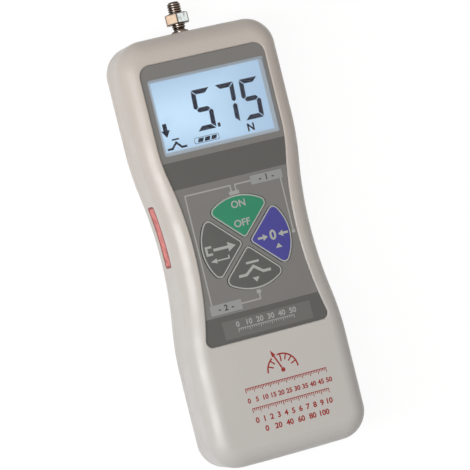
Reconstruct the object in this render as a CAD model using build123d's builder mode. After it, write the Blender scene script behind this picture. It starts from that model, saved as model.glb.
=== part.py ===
"""Handheld digital force gauge, lying on its back.

The origin is on the back face, at the middle of the four stand holes. +X is to the right of the
display, +Y runs along the body towards the sensor shaft and +Z is the way the display faces.
Millimetres throughout.
"""

import os
from math import sqrt

from build123d import *

# ---------------------------------------------------------------- driving dimensions
# Housing
LENGTH = 190.0
DEPTH = 33.0
SEAM_Z = 12.0  # the shells meet at the height of the sensor shaft
WALL = 2.4
HEAD_HALF = 36.5  # half widths of head, waist and foot
WAIST_HALF = 32.3
WAIST_Y = 0.0
WAIST_R = 177.0  # hollow of the hand waist
BROW_R = 125.0  # soft brow where the waist runs out into head and foot
CORNER_R = 12.7
END_CROWN = 0.45  # how far head and foot bow outwards
FRONT_ROUND = 7.8
REAR_ROUND = 9.0
INNER_BEVEL = 3.3
CEILING_Z = 29.2  # inside of the front wall
LIP = 1.2  # height of the rear cover's locating lip
LIP_GAP = 0.1
SEAM_CHAMFER = 0.25

# Face plate, lying in a recess of the front shell
PLATE_TOP_Y = 83.3
PLATE_FOOT_Y = -41.2
PLATE_HALF = 29.0
PLATE_WAIST_HALF = 23.8
PLATE_WAIST_R = 156.0
PLATE_BROW_R = 70.0
PLATE_TOP_CORNER = 5.0
PLATE_FOOT_CORNER = 3.0
PLATE_FLOOR_Z = 31.0
PLATE_THICK = 1.2
PLATE_GAP = 0.15
RIM_FLARE = 0.4

# Display stack, named from the front backwards
DISPLAY_Y = 59.7
WINDOW_X, WINDOW_Y = 53.6, 32.5
WINDOW_SHIFT = 0.7  # the window sits a little right of the middle
LENS_X, LENS_Y, LENS_THICK = 57.2, 37.4, 1.2
PANEL_X, PANEL_Y, PANEL_THICK = 56.4, 36.4, 2.4
PANEL_LEDGE = 1.6
FRAME_X, FRAME_Y = 58.0, 38.4
FRAME_FLOOR = 0.8
STACK_GAP = 0.2
LENS_GAP = 0.2

# Keys: four petals of one disc, with a cross-shaped gap between them
KEYS_Y = -0.3
KEY_DISC_R = 20.7
KEY_CROSS_GAP = 2.2
KEY_CORNER_R = 2.6
KEY_TIP_R = 1.8
KEY_THICK = 1.0
KEY_PROUD = 0.4
KEY_GAP = 0.35
KEY_EDGE = 0.2
KEY_TRAVEL = 0.4
PLUNGER_REACH = 12.6  # from the cross's centre to each plunger
PLUNGER_R = 1.7
PLUNGER_HOLE_R = 2.1
SWITCH_SIDE = 6.0
SWITCH_HEIGHT = 3.4
SWITCH_WELL_R = 2.0
SWITCH_WELL = 1.1

# Main board
BOARD_Z = 21.4
BOARD_THICK = 1.6
BOARD_INSET = 5.0
BOARD_TOP_Y, BOARD_FOOT_Y = 78.6, -78.0
BOARD_POSTS = [(24.5, 33.0), (-24.5, 33.0), (27.0, -71.5), (-27.0, -71.5)]
BOARD_POST_R = 3.0
SCREW_M25_R = 1.25
BOARD_PILOT = 5.0
# Chips and headers under the board: place, size and height
CHIPS = [
    (0.0, 6.0, 12.0, 12.0, 1.6),
    (-14.0, 24.0, 7.0, 5.0, 1.5),
    (13.0, 22.0, 5.0, 6.5, 1.5),
    (-12.0, 40.0, 10.0, 4.0, 5.0),
    (4.0, -28.0, 8.0, 4.0, 5.0),
]

# Sensor: shaft, load cell and the frame that carries it
SHAFT_Z = 12.0
CELL_X, CELL_THICK = 56.0, 8.0
CELL_LOW_Y, CELL_TOP_Y = 53.2, 78.4
CELL_END = 11.0  # length of each clamped end
CELL_POST = 13.0  # width of the centre post
CELL_BEAM = 4.2  # depth of the beams between the flexures
CELL_FLEXURE = 1.4  # thickness left at each flexure
FLEXURE_R = 2.6
CELL_PILOT = 6.5  # depth of its screw holes
SHAFT_SOCKET = 11.0  # how far the shaft goes into the centre post
SHAFT_SOCKET_GAP = 0.05
SHAFT_LIFT = 0.5  # gap between centre post and shoulder
GAUGE_X, GAUGE_Z, GAUGE_THICK = 5.0, 4.0, 0.2
SHAFT_R = 3.0
SHOULDER_R = 3.8
SHOULDER_END_Y = 96.6
NECK_R = 2.6
THREAD_ROOT_R = 2.55
STUD_END_Y = 109.6
STUD_CHAMFER = 0.5
SHAFT_HOLE_R = 4.5
NUT_FLATS = 10.0
NUT_TURN = -15.0  # degrees from flat side up
NUT_THICK = 4.8
NUT_TOP_Y = 104.4
NUT_BORE_R = 2.65
NUT_BEVEL = 0.45
NUT_GAP = 0.1
FRAME_PLATE_X, FRAME_PLATE_WING = 56.0, 6.0
FRAME_PLATE_LOW_Y, FRAME_PLATE_TOP_Y = 44.5, 88.5
FRAME_PLATE_Z = 4.0
FRAME_PLATE_THICK = 2.4
FRAME_BOSS_R = 3.4
FRAME_PILOT = 2.8
FRAME_SCREWS = [(19.0, 48.8), (-19.0, 48.8), (19.0, 84.2), (-19.0, 84.2)]
CELL_SCREW_X, CELL_SCREW_Y = 45.0, 14.0  # spacing
SCREW_M3_R = 1.5
SCREW_HEAD_R, SCREW_HEAD = 2.75, 2.0

# Battery
CELL_R, CELL_LENGTH = 5.25, 44.5
CELL_PITCH = 10.6
CELL_AXIS_Z = 9.15
TRAY_LOW_Y, TRAY_TOP_Y = -84.0, -36.4
TRAY_HALF = 22.3
TRAY_TOP_Z = 8.6
TRAY_END_Z = 13.4
TRAY_END = 1.2
CONTACT_SIDE, CONTACT_THICK = 7.5, 0.2

# Sockets in the right side wall
DATA_Y, DATA_Z = -58.0, 17.9
DATA_BODY_Y, DATA_BODY_Z, DATA_DEPTH = 15.0, 7.0, 8.0
DATA_WELL_Y, DATA_WELL_Z, DATA_WELL_DEPTH = 12.6, 4.8, 6.0
PIN_SIDE, PIN_LENGTH = 0.64, 1.0
PIN_PITCH_Y, PIN_PITCH_Z = 2.2, 2.0
JACK_Y, JACK_Z = -46.0, 17.0
JACK_SIDE, JACK_DEPTH = 8.8, 11.6
JACK_FACE_X = 33.4
JACK_BORE_R, JACK_BORE_DEPTH = 3.15, 9.0
JACK_PIN_R, JACK_PIN_LENGTH = 1.0, 4.3
JACK_HOLE_R = 3.6
SOCKET_GAP = 0.4

# Fasteners of the housing
CASE_SCREW_X, CASE_SCREW_Y = 53.6, 166.4  # spacing
CASE_BOSS_R = 3.5
CASE_PILOT = 12.0
CASE_HEAD_R, CASE_HEAD = 2.75, 2.0
CASE_COUNTERBORE_R, CASE_COUNTERBORE = 3.0, 4.0
CASE_CLEARANCE_R = 1.7
CASE_SHANK = 16.0
CROSS_LENGTH, CROSS_WIDTH, CROSS_DEPTH = 2.8, 0.7, 1.0  # cross recess of the heads
RIB_YS = [-18.0, 0.0, 18.0]
RIB_LENGTH, RIB_WIDTH, RIB_TOP = 54.0, 1.6, 4.4
STAND_X, STAND_Y = 40.0, 60.0
INSERT_R, INSERT_BORE_R, INSERT_LENGTH = 3.0, 1.65, 6.0
INSERT_BOSS_R, INSERT_BOSS_TOP = 4.6, 8.0

# Red strip on the left side wall
STRIP_Y, STRIP_Z = 10.2, 17.0
STRIP_LENGTH, STRIP_WIDTH = 27.1, 7.6
STRIP_THICK, STRIP_RECESS = 0.2, 0.25

# ---------------------------------------------------------------- derived dimensions
TOP_Y, FOOT_Y = LENGTH / 2, -LENGTH / 2
PLATE_TOP_Z = PLATE_FLOOR_Z + PLATE_THICK
LENS_Z = PLATE_FLOOR_Z - LENS_THICK
BOARD_TOP_Z = BOARD_Z + BOARD_THICK
KEY_Z = PLATE_TOP_Z + KEY_PROUD - KEY_THICK
SWITCH_TOP_Z = BOARD_TOP_Z + SWITCH_HEIGHT
PLUNGER_TIP_Z = SWITCH_TOP_Z - SWITCH_WELL + KEY_TRAVEL + 0.2
PANEL_Z = CEILING_Z - PANEL_THICK
BACKLIGHT_Z = BOARD_TOP_Z + FRAME_FLOOR
BACKLIGHT_THICK = PANEL_Z - BACKLIGHT_Z
CELL_Z = SHAFT_Z - CELL_THICK / 2
CELL_Y = CELL_TOP_Y - CELL_LOW_Y
CELL_MID_Y = (CELL_TOP_Y + CELL_LOW_Y) / 2
CELL_END_X = (CELL_X - CELL_END) / 2
CELL_WINDOW = (CELL_X - CELL_POST) / 2 - CELL_END
CELL_WINDOW_X = (CELL_POST + CELL_WINDOW) / 2
CELL_RELIEF_Y = CELL_Y - 2 * (CELL_FLEXURE + FLEXURE_R)
NUT_CORNER_R = NUT_FLATS / sqrt(3)
TRAY_MID_Y = (TRAY_LOW_Y + TRAY_TOP_Y) / 2
DATA_FACE_X = HEAD_HALF - WALL
NUT_LOW_Y = NUT_TOP_Y - NUT_THICK
KEY_PLACES = {
    "power": (0, PLUNGER_REACH),
    "peak": (0, -PLUNGER_REACH),
    "send": (-PLUNGER_REACH, 0),
    "zero": (PLUNGER_REACH, 0),
}
KEY_TURNS = {"power": 0, "send": 90, "peak": 180, "zero": 270}


# ---------------------------------------------------------------- shared profiles
def hollow_half(y, waist_half, waist_r):
    """Half width of a hollow side at height y."""
    return waist_half + waist_r - sqrt(waist_r**2 - (y - WAIST_Y) ** 2)


def end_edge(half, y, crown):
    """The edge across an end, bowed by crown towards y."""
    if crown:
        ThreePointArc((half, y - crown), (0, y), (-half, y - crown))
    else:
        Line((half, y), (-half, y))


def waisted_outline(top, foot, half, waist_half, waist_r, brow_r, corners, crown, foot_straight):
    """An outline with a straight head, hollow sides and rounded corners.

    The foot is as wide as the head, or ends within the hollow."""
    sag = half - waist_half
    reach = sqrt(2 * waist_r * sag - sag**2)
    brow_top = WAIST_Y + reach
    brow_foot = WAIST_Y - reach if foot_straight else foot
    end_half = half if foot_straight else hollow_half(foot, waist_half, waist_r)
    with BuildSketch() as outline:
        with BuildLine():
            end_edge(half, top, crown)
            end_edge(end_half, foot, -crown)
            for side in (1, -1):
                Line((side * half, top - crown), (side * half, brow_top))
                ThreePointArc(
                    (side * half, brow_top),
                    (side * waist_half, WAIST_Y),
                    (side * end_half, brow_foot),
                )
                if foot_straight:
                    Line((side * half, brow_foot), (side * half, foot + crown))
        make_face()
        for y, radius in zip((top, foot), corners):
            fillet(outline.vertices().filter_by_position(Axis.Y, y - 1, y + 1), radius)
        for brow in {brow_top, brow_foot} - {foot}:
            fillet(outline.vertices().filter_by_position(Axis.Y, brow - 1, brow + 1), brow_r)
    return outline.sketch


def petal_outline():
    """The upper petal: a quarter of the key disc, drawn in from the cross-shaped gap."""
    start = KEY_CROSS_GAP / sqrt(2)
    far = 2 * KEY_DISC_R
    with BuildSketch() as petal:
        Circle(KEY_DISC_R)
        with BuildLine():
            Polyline((0, start), (far, start + far), (-far, start + far), close=True)
        make_face(mode=Mode.INTERSECT)
        tip, *shoulders = petal.vertices().sort_by(Axis.Y)
        fillet(shoulders, KEY_CORNER_R)
        fillet(petal.vertices().sort_by(Axis.Y)[0], KEY_TIP_R)
    return petal.sketch


housing = waisted_outline(
    top=TOP_Y,
    foot=FOOT_Y,
    half=HEAD_HALF,
    waist_half=WAIST_HALF,
    waist_r=WAIST_R,
    brow_r=BROW_R,
    corners=(CORNER_R, CORNER_R),
    crown=END_CROWN,
    foot_straight=True,
)
plate = waisted_outline(
    top=PLATE_TOP_Y,
    foot=PLATE_FOOT_Y,
    half=PLATE_HALF,
    waist_half=PLATE_WAIST_HALF,
    waist_r=PLATE_WAIST_R,
    brow_r=PLATE_BROW_R,
    corners=(PLATE_TOP_CORNER, PLATE_FOOT_CORNER),
    crown=0,
    foot_straight=False,
)
petal = petal_outline()
petal_gap = offset(petal, amount=KEY_GAP)
key_centre = Location((0, KEYS_Y))

# Blank of the red strip: a skin of the side wall, cut to a long rounded shape
with BuildPart() as wall_skin:
    with BuildSketch():
        add(housing)
        offset(housing, amount=-STRIP_RECESS, mode=Mode.SUBTRACT)
    extrude(amount=DEPTH)
    with BuildSketch(Plane.YZ.offset(-HEAD_HALF)):
        with Locations((STRIP_Y, STRIP_Z)):
            RectangleRounded(STRIP_LENGTH, STRIP_WIDTH, 1.2)
    extrude(amount=HEAD_HALF, mode=Mode.INTERSECT)

# Hollow of the front shell, with a bevelled ceiling and a rebate for the rear cover's lip
with BuildPart() as front_cavity:
    with BuildSketch(Plane.XY.offset(SEAM_Z)):
        add(housing)
        offset(amount=-WALL)
    extrude(amount=CEILING_Z - SEAM_Z)
    chamfer(front_cavity.faces().sort_by(Axis.Z)[-1].edges(), INNER_BEVEL)
    with BuildSketch(Plane.XY.offset(SEAM_Z)):
        add(housing)
        offset(amount=LIP_GAP - WALL / 2)
    extrude(amount=LIP + LIP_GAP)

# Hollow of the rear cover, bevelled at its floor
with BuildPart() as rear_cavity:
    with BuildSketch(Plane.XY.offset(WALL)):
        add(housing)
        offset(amount=-WALL)
    extrude(amount=DEPTH)
    chamfer(rear_cavity.faces().sort_by(Axis.Z)[0].edges(), INNER_BEVEL)

# Hole of the shaft in the top wall, half of it in each shell
with BuildPart() as shaft_hole:
    with BuildSketch(Plane.XZ.offset(-TOP_Y)):
        with Locations((0, SHAFT_Z)):
            Circle(SHAFT_HOLE_R)
    extrude(amount=2 * WALL)

# ---------------------------------------------------------------- housing
with BuildPart() as front_shell:
    with BuildSketch(Plane.XY.offset(SEAM_Z)):
        add(housing)
    extrude(amount=DEPTH - SEAM_Z)
    fillet(front_shell.faces().sort_by(Axis.Z)[-1].edges(), FRONT_ROUND)
    chamfer(front_shell.faces().sort_by(Axis.Z)[0].edges(), SEAM_CHAMFER)

    add(front_cavity.part, mode=Mode.SUBTRACT)

    # Posts for the case screws and the main board
    with BuildSketch(Plane.XY.offset(SEAM_Z)):
        with GridLocations(CASE_SCREW_X, CASE_SCREW_Y, 2, 2):
            Circle(CASE_BOSS_R)
    extrude(amount=CEILING_Z - SEAM_Z + WALL / 2)
    with BuildSketch(Plane.XY.offset(BOARD_TOP_Z)):
        with Locations(*BOARD_POSTS):
            Circle(BOARD_POST_R)
    extrude(amount=CEILING_Z - BOARD_TOP_Z + WALL / 2)

    # Recess of the face plate, with a small flare at its rim, and the display opening
    with BuildSketch(Plane.XY.offset(PLATE_FLOOR_Z)):
        add(plate)
    extrude(amount=DEPTH, mode=Mode.SUBTRACT)
    with BuildSketch(Plane.XY.offset(DEPTH - RIM_FLARE)):
        add(plate)
    extrude(amount=2 * RIM_FLARE, taper=-45, mode=Mode.SUBTRACT)
    with BuildSketch(Plane.XY.offset(LENS_Z)):
        with Locations((0, DISPLAY_Y)):
            RectangleRounded(LENS_X + 2 * LENS_GAP, LENS_Y + 2 * LENS_GAP, 1.5)
    extrude(amount=DEPTH, mode=Mode.SUBTRACT)
    with BuildSketch(Plane.XY.offset(CEILING_Z - 1)):
        with Locations((WINDOW_SHIFT, DISPLAY_Y)):
            RectangleRounded(WINDOW_X + 1, WINDOW_Y + 1, 1)
    extrude(amount=DEPTH, mode=Mode.SUBTRACT)

    # Plunger holes
    with BuildSketch(Plane.XY.offset(CEILING_Z - 1)):
        with Locations(key_centre):
            with Locations(*KEY_PLACES.values()):
                Circle(PLUNGER_HOLE_R)
    extrude(amount=DEPTH, mode=Mode.SUBTRACT)

    # Pilot holes of the case screws and board screws
    with BuildSketch(Plane.XY.offset(SEAM_Z)):
        with GridLocations(CASE_SCREW_X, CASE_SCREW_Y, 2, 2):
            Circle(SCREW_M3_R)
    extrude(amount=CASE_PILOT, mode=Mode.SUBTRACT)
    with BuildSketch(Plane.XY.offset(BOARD_TOP_Z)):
        with Locations(*BOARD_POSTS):
            Circle(SCREW_M25_R)
    extrude(amount=BOARD_PILOT, mode=Mode.SUBTRACT)

    # Shaft hole in the top wall, socket windows in the right side wall
    add(shaft_hole.part, mode=Mode.SUBTRACT)
    with BuildSketch(Plane.YZ.offset(HEAD_HALF)):
        with Locations((DATA_Y, DATA_Z)):
            RectangleRounded(DATA_WELL_Y + 2 * SOCKET_GAP, DATA_WELL_Z + 2 * SOCKET_GAP, 0.8)
        with Locations((JACK_Y, JACK_Z)):
            Circle(JACK_HOLE_R)
    extrude(amount=-2 * WALL, mode=Mode.SUBTRACT)
    add(wall_skin.part, mode=Mode.SUBTRACT)

with BuildPart() as rear_cover:
    with BuildSketch():
        add(housing)
    extrude(amount=SEAM_Z)
    fillet(rear_cover.faces().sort_by(Axis.Z)[0].edges(), REAR_ROUND)

    # Locating lip, standing inside the front shell's rebate
    with BuildSketch(Plane.XY.offset(SEAM_Z)):
        add(housing)
        offset(amount=-WALL / 2)
    extrude(amount=LIP)
    add(rear_cavity.part, mode=Mode.SUBTRACT)

    # Bosses: case screws, stand inserts and sensor frame
    with BuildSketch(Plane.XY.offset(WALL / 2)):
        with GridLocations(CASE_SCREW_X, CASE_SCREW_Y, 2, 2):
            Circle(CASE_BOSS_R + 0.6)
    extrude(amount=SEAM_Z - WALL / 2)
    with BuildSketch(Plane.XY.offset(WALL / 2)):
        with GridLocations(STAND_X, STAND_Y, 2, 2):
            Circle(INSERT_BOSS_R)
    extrude(amount=INSERT_BOSS_TOP - WALL / 2)
    with BuildSketch(Plane.XY.offset(WALL / 2)):
        with Locations(*FRAME_SCREWS):
            Circle(FRAME_BOSS_R)
    extrude(amount=FRAME_PLATE_Z - WALL / 2)

    # Stiffening ribs across the floor, from side to side between the insert bosses
    with BuildSketch(Plane.XY.offset(WALL / 2)):
        with Locations(*[(0, y) for y in RIB_YS]):
            Rectangle(RIB_LENGTH, RIB_WIDTH)
    extrude(amount=RIB_TOP - WALL / 2)

    # Screw holes with counterbores at the back, and blind holes for inserts and frame screws
    with BuildSketch(Plane.XY):
        with GridLocations(CASE_SCREW_X, CASE_SCREW_Y, 2, 2):
            Circle(CASE_COUNTERBORE_R)
    extrude(amount=CASE_COUNTERBORE, mode=Mode.SUBTRACT)
    with BuildSketch(Plane.XY):
        with GridLocations(CASE_SCREW_X, CASE_SCREW_Y, 2, 2):
            Circle(CASE_CLEARANCE_R)
    extrude(amount=2 * SEAM_Z, mode=Mode.SUBTRACT)
    with BuildSketch(Plane.XY):
        with GridLocations(STAND_X, STAND_Y, 2, 2):
            Circle(INSERT_R)
    extrude(amount=INSERT_LENGTH, mode=Mode.SUBTRACT)
    with BuildSketch(Plane.XY.offset(FRAME_PLATE_Z)):
        with Locations(*FRAME_SCREWS):
            Circle(SCREW_M3_R)
    extrude(amount=-FRAME_PILOT, mode=Mode.SUBTRACT)
    add(shaft_hole.part, mode=Mode.SUBTRACT)

with BuildPart() as side_strip:
    with BuildSketch():
        offset(housing, amount=STRIP_THICK - STRIP_RECESS)
        offset(housing, amount=-STRIP_RECESS, mode=Mode.SUBTRACT)
    extrude(amount=DEPTH)
    with BuildSketch(Plane.YZ.offset(-HEAD_HALF)):
        with Locations((STRIP_Y, STRIP_Z)):
            RectangleRounded(STRIP_LENGTH - 0.2, STRIP_WIDTH - 0.2, 1.1)
    extrude(amount=HEAD_HALF, mode=Mode.INTERSECT)

# Pan-head screws, head down at the back
with BuildPart() as case_screws:
    with BuildSketch(Plane.XY.offset(CASE_COUNTERBORE - CASE_HEAD)):
        with GridLocations(CASE_SCREW_X, CASE_SCREW_Y, 2, 2):
            Circle(CASE_HEAD_R)
    extrude(amount=CASE_HEAD)
    chamfer(case_screws.edges().group_by(Axis.Z)[0], CASE_HEAD / 3)
    with BuildSketch(Plane.XY.offset(CASE_COUNTERBORE)):
        with GridLocations(CASE_SCREW_X, CASE_SCREW_Y, 2, 2):
            Circle(SCREW_M3_R)
    extrude(amount=CASE_SHANK)
    with BuildSketch(Plane.XY.offset(CASE_COUNTERBORE - CASE_HEAD)):
        with GridLocations(CASE_SCREW_X, CASE_SCREW_Y, 2, 2):
            Rectangle(CROSS_LENGTH, CROSS_WIDTH)
            Rectangle(CROSS_WIDTH, CROSS_LENGTH)
    extrude(amount=CROSS_DEPTH, mode=Mode.SUBTRACT)

# Knurled brass inserts for a test stand, flush with the back
with BuildPart() as mount_inserts:
    with BuildSketch(Plane.XY):
        with GridLocations(STAND_X, STAND_Y, 2, 2):
            Circle(INSERT_R)
            Circle(INSERT_BORE_R, mode=Mode.SUBTRACT)
    extrude(amount=INSERT_LENGTH)

# ---------------------------------------------------------------- face and keys
with BuildPart() as face_plate:
    with BuildSketch(Plane.XY.offset(PLATE_FLOOR_Z)):
        offset(plate, amount=-PLATE_GAP)
        with Locations((WINDOW_SHIFT, DISPLAY_Y)):
            RectangleRounded(WINDOW_X, WINDOW_Y, 1, mode=Mode.SUBTRACT)
        for turn in KEY_TURNS.values():
            with Locations(key_centre * Rotation(0, 0, turn)):
                add(petal_gap, mode=Mode.SUBTRACT)
    extrude(amount=PLATE_THICK)

keys, plungers = {}, {}
for key, turn in KEY_TURNS.items():
    with BuildPart() as pad:
        with BuildSketch(Plane.XY.offset(KEY_Z)):
            with Locations(key_centre * Rotation(0, 0, turn)):
                add(petal)
        extrude(amount=KEY_THICK)
        chamfer(pad.faces().sort_by(Axis.Z)[-1].edges(), KEY_EDGE)
    keys[key] = pad.part

    with BuildPart() as plunger:
        with BuildSketch(Plane.XY.offset(PLUNGER_TIP_Z)):
            with Locations(key_centre):
                with Locations(KEY_PLACES[key]):
                    Circle(PLUNGER_R)
        extrude(amount=KEY_Z - PLUNGER_TIP_Z)
        chamfer(plunger.edges().group_by(Axis.Z)[0], PLUNGER_R / 4)
    plungers[key] = plunger.part

# ---------------------------------------------------------------- display
with BuildPart() as lcd_window:
    with BuildSketch(Plane.XY.offset(LENS_Z)):
        with Locations((0, DISPLAY_Y)):
            RectangleRounded(LENS_X, LENS_Y, 1.3)
    extrude(amount=LENS_THICK)

# Two sheets of glass: the rear one reaches further down, to carry the contacts
with BuildPart() as lcd_panel:
    with BuildSketch(Plane.XY.offset(PANEL_Z)):
        with Locations((0, DISPLAY_Y)):
            Rectangle(PANEL_X, PANEL_Y)
    extrude(amount=PANEL_THICK / 2)
    with BuildSketch(Plane.XY.offset(PANEL_Z + PANEL_THICK / 2)):
        with Locations((0, DISPLAY_Y + PANEL_LEDGE / 2)):
            Rectangle(PANEL_X, PANEL_Y - PANEL_LEDGE)
    extrude(amount=PANEL_THICK / 2)

with BuildPart() as backlight:
    with BuildSketch(Plane.XY.offset(BACKLIGHT_Z)):
        with Locations((0, DISPLAY_Y)):
            Rectangle(PANEL_X, PANEL_Y)
    extrude(amount=BACKLIGHT_THICK)

with BuildPart() as lcd_frame:
    with BuildSketch(Plane.XY.offset(BOARD_TOP_Z)):
        with Locations((0, DISPLAY_Y)):
            RectangleRounded(FRAME_X, FRAME_Y, 1)
    extrude(amount=CEILING_Z - BOARD_TOP_Z)
    with BuildSketch(Plane.XY.offset(BACKLIGHT_Z)):
        with Locations((0, DISPLAY_Y)):
            Rectangle(PANEL_X + 2 * STACK_GAP, PANEL_Y + 2 * STACK_GAP)
    extrude(amount=DEPTH, mode=Mode.SUBTRACT)
    with BuildSketch(Plane.XY.offset(BOARD_TOP_Z)):
        with Locations((0, DISPLAY_Y)):
            Rectangle(PANEL_X - 4, PANEL_Y - 4)
    extrude(amount=DEPTH, mode=Mode.SUBTRACT)

# ---------------------------------------------------------------- main board
with BuildPart() as main_board:
    with BuildSketch(Plane.XY.offset(BOARD_Z)):
        offset(housing, amount=-BOARD_INSET)
        with Locations((0, (BOARD_TOP_Y + BOARD_FOOT_Y) / 2)):
            Rectangle(2 * HEAD_HALF, BOARD_TOP_Y - BOARD_FOOT_Y, mode=Mode.INTERSECT)
        with Locations(*BOARD_POSTS):
            Circle(SCREW_M25_R + 0.15, mode=Mode.SUBTRACT)
    extrude(amount=BOARD_THICK)

with BuildPart() as board_screws:
    with BuildSketch(Plane.XY.offset(BOARD_Z)):
        with Locations(*BOARD_POSTS):
            Circle(SCREW_HEAD_R - 0.3)
    extrude(amount=-SCREW_HEAD * 0.8)
    with BuildSketch(Plane.XY.offset(BOARD_Z)):
        with Locations(*BOARD_POSTS):
            Circle(SCREW_M25_R)
    extrude(amount=BOARD_THICK + BOARD_PILOT - 0.5)

with BuildPart() as tact_switches:
    with BuildSketch(Plane.XY.offset(BOARD_TOP_Z)):
        with Locations(key_centre):
            with Locations(*KEY_PLACES.values()):
                RectangleRounded(SWITCH_SIDE, SWITCH_SIDE, 0.6)
    extrude(amount=SWITCH_HEIGHT)
    with BuildSketch(Plane.XY.offset(SWITCH_TOP_Z)):
        with Locations(key_centre):
            with Locations(*KEY_PLACES.values()):
                Circle(SWITCH_WELL_R)
    extrude(amount=-SWITCH_WELL, mode=Mode.SUBTRACT)

# Processor, amplifier, converter and the two wiring headers, under the board
with BuildPart() as board_chips:
    for x, y, size_x, size_y, height in CHIPS:
        with BuildSketch(Plane.XY.offset(BOARD_Z)):
            with Locations((x, y)):
                Rectangle(size_x, size_y)
        extrude(amount=-height)

# ---------------------------------------------------------------- sensor
with BuildPart() as sensor_frame:
    with BuildSketch(Plane.XY.offset(FRAME_PLATE_Z)):
        with Locations((0, (FRAME_PLATE_LOW_Y + FRAME_PLATE_TOP_Y) / 2)):
            RectangleRounded(
                FRAME_PLATE_X - 2 * FRAME_PLATE_WING, FRAME_PLATE_TOP_Y - FRAME_PLATE_LOW_Y, 3
            )
        with Locations((0, CELL_MID_Y)):
            RectangleRounded(FRAME_PLATE_X, CELL_Y, 3)
        with Locations(*FRAME_SCREWS):
            Circle(SCREW_M3_R + 0.15, mode=Mode.SUBTRACT)
    extrude(amount=FRAME_PLATE_THICK)
    with BuildSketch(Plane.XY.offset(FRAME_PLATE_Z)):
        with Locations((CELL_END_X, CELL_MID_Y), (-CELL_END_X, CELL_MID_Y)):
            Rectangle(CELL_END, CELL_Y)
    extrude(amount=CELL_Z - FRAME_PLATE_Z)
    with BuildSketch(Plane.XY.offset(FRAME_PLATE_Z)):
        with Locations((0, CELL_MID_Y)):
            with GridLocations(CELL_SCREW_X, CELL_SCREW_Y, 2, 2):
                Circle(SCREW_M3_R + 0.15)
    extrude(amount=DEPTH, mode=Mode.SUBTRACT)
    with BuildSketch(Plane.XY.offset(FRAME_PLATE_Z)):
        with Locations((0, CELL_MID_Y)):
            with GridLocations(CELL_SCREW_X, CELL_SCREW_Y, 2, 2):
                Circle(SCREW_HEAD_R + 0.15)
    extrude(amount=SCREW_HEAD + 0.2, mode=Mode.SUBTRACT)

# Load cell: two clamped ends and a centre post, joined by beams with a thin flexure at each end.
# Between the beams lies a window whose corners are the round reliefs of the flexures.
with BuildPart() as load_cell:
    with BuildSketch(Plane.XY.offset(CELL_Z)):
        with Locations((0, CELL_MID_Y)):
            Rectangle(CELL_X, CELL_Y)
        with Locations((CELL_WINDOW_X, CELL_MID_Y), (-CELL_WINDOW_X, CELL_MID_Y)):
            Rectangle(CELL_WINDOW, CELL_Y - 2 * CELL_BEAM, mode=Mode.SUBTRACT)
            with GridLocations(CELL_WINDOW - 2 * FLEXURE_R, CELL_RELIEF_Y, 2, 2):
                Circle(FLEXURE_R, mode=Mode.SUBTRACT)
    extrude(amount=CELL_THICK)
    with BuildSketch(Plane.XY.offset(CELL_Z)):
        with Locations((0, CELL_MID_Y)):
            with GridLocations(CELL_SCREW_X, CELL_SCREW_Y, 2, 2):
                Circle(SCREW_M3_R)
    extrude(amount=CELL_PILOT, mode=Mode.SUBTRACT)
    with BuildSketch(Plane.XZ.offset(-CELL_TOP_Y)):
        with Locations((0, SHAFT_Z)):
            Circle(SHAFT_R + SHAFT_SOCKET_GAP)
    extrude(amount=SHAFT_SOCKET, mode=Mode.SUBTRACT)

with BuildPart() as strain_gauges:
    for y, side in ((CELL_LOW_Y, -1), (CELL_TOP_Y, 1)):
        with BuildSketch(Plane.XZ.offset(-y)):
            with GridLocations(2 * CELL_WINDOW_X, 0, 2, 1):
                with Locations((0, SHAFT_Z)):
                    Rectangle(GAUGE_X, GAUGE_Z)
        extrude(amount=-side * GAUGE_THICK)

# Screws of the load cell (heads under the frame) and of the frame (heads above it)
with BuildPart() as load_cell_screws:
    with BuildSketch(Plane.XY.offset(FRAME_PLATE_Z + 0.2)):
        with Locations((0, CELL_MID_Y)):
            with GridLocations(CELL_SCREW_X, CELL_SCREW_Y, 2, 2):
                Circle(SCREW_HEAD_R)
    extrude(amount=SCREW_HEAD)
    with BuildSketch(Plane.XY.offset(FRAME_PLATE_Z + 0.2)):
        with Locations((0, CELL_MID_Y)):
            with GridLocations(CELL_SCREW_X, CELL_SCREW_Y, 2, 2):
                Circle(SCREW_M3_R)
    extrude(amount=CELL_Z + CELL_PILOT - 1 - FRAME_PLATE_Z)

with BuildPart() as frame_screws:
    with BuildSketch(Plane.XY.offset(FRAME_PLATE_Z + FRAME_PLATE_THICK)):
        with Locations(*FRAME_SCREWS):
            Circle(SCREW_HEAD_R)
    extrude(amount=SCREW_HEAD)
    with BuildSketch(Plane.XY.offset(FRAME_PLATE_Z + FRAME_PLATE_THICK)):
        with Locations(*FRAME_SCREWS):
            Circle(SCREW_M3_R)
    extrude(amount=-FRAME_PLATE_THICK - FRAME_PILOT + 0.3)

# Shaft: threaded root in the centre post, shoulder through the top wall, neck, and the free
# end of the M6 thread above the nut. The thread inside the nut is drawn at its root.
shaft_steps = [
    (CELL_TOP_Y - SHAFT_SOCKET + 1, SHAFT_R),
    (CELL_TOP_Y + SHAFT_LIFT, SHOULDER_R),
    (SHOULDER_END_Y, NECK_R),
    (NUT_LOW_Y - 1, THREAD_ROOT_R),
    (NUT_TOP_Y + NUT_GAP, SHAFT_R),
    (STUD_END_Y, SHAFT_R),
]
with BuildPart() as sensor_shaft:
    for (start, radius), (end, _) in zip(shaft_steps, shaft_steps[1:]):
        with BuildSketch(Plane.XZ.offset(-start)):
            with Locations((0, SHAFT_Z)):
                Circle(radius)
        extrude(amount=start - end)
    chamfer(sensor_shaft.edges().group_by(Axis.Y)[-1], STUD_CHAMFER)

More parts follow.
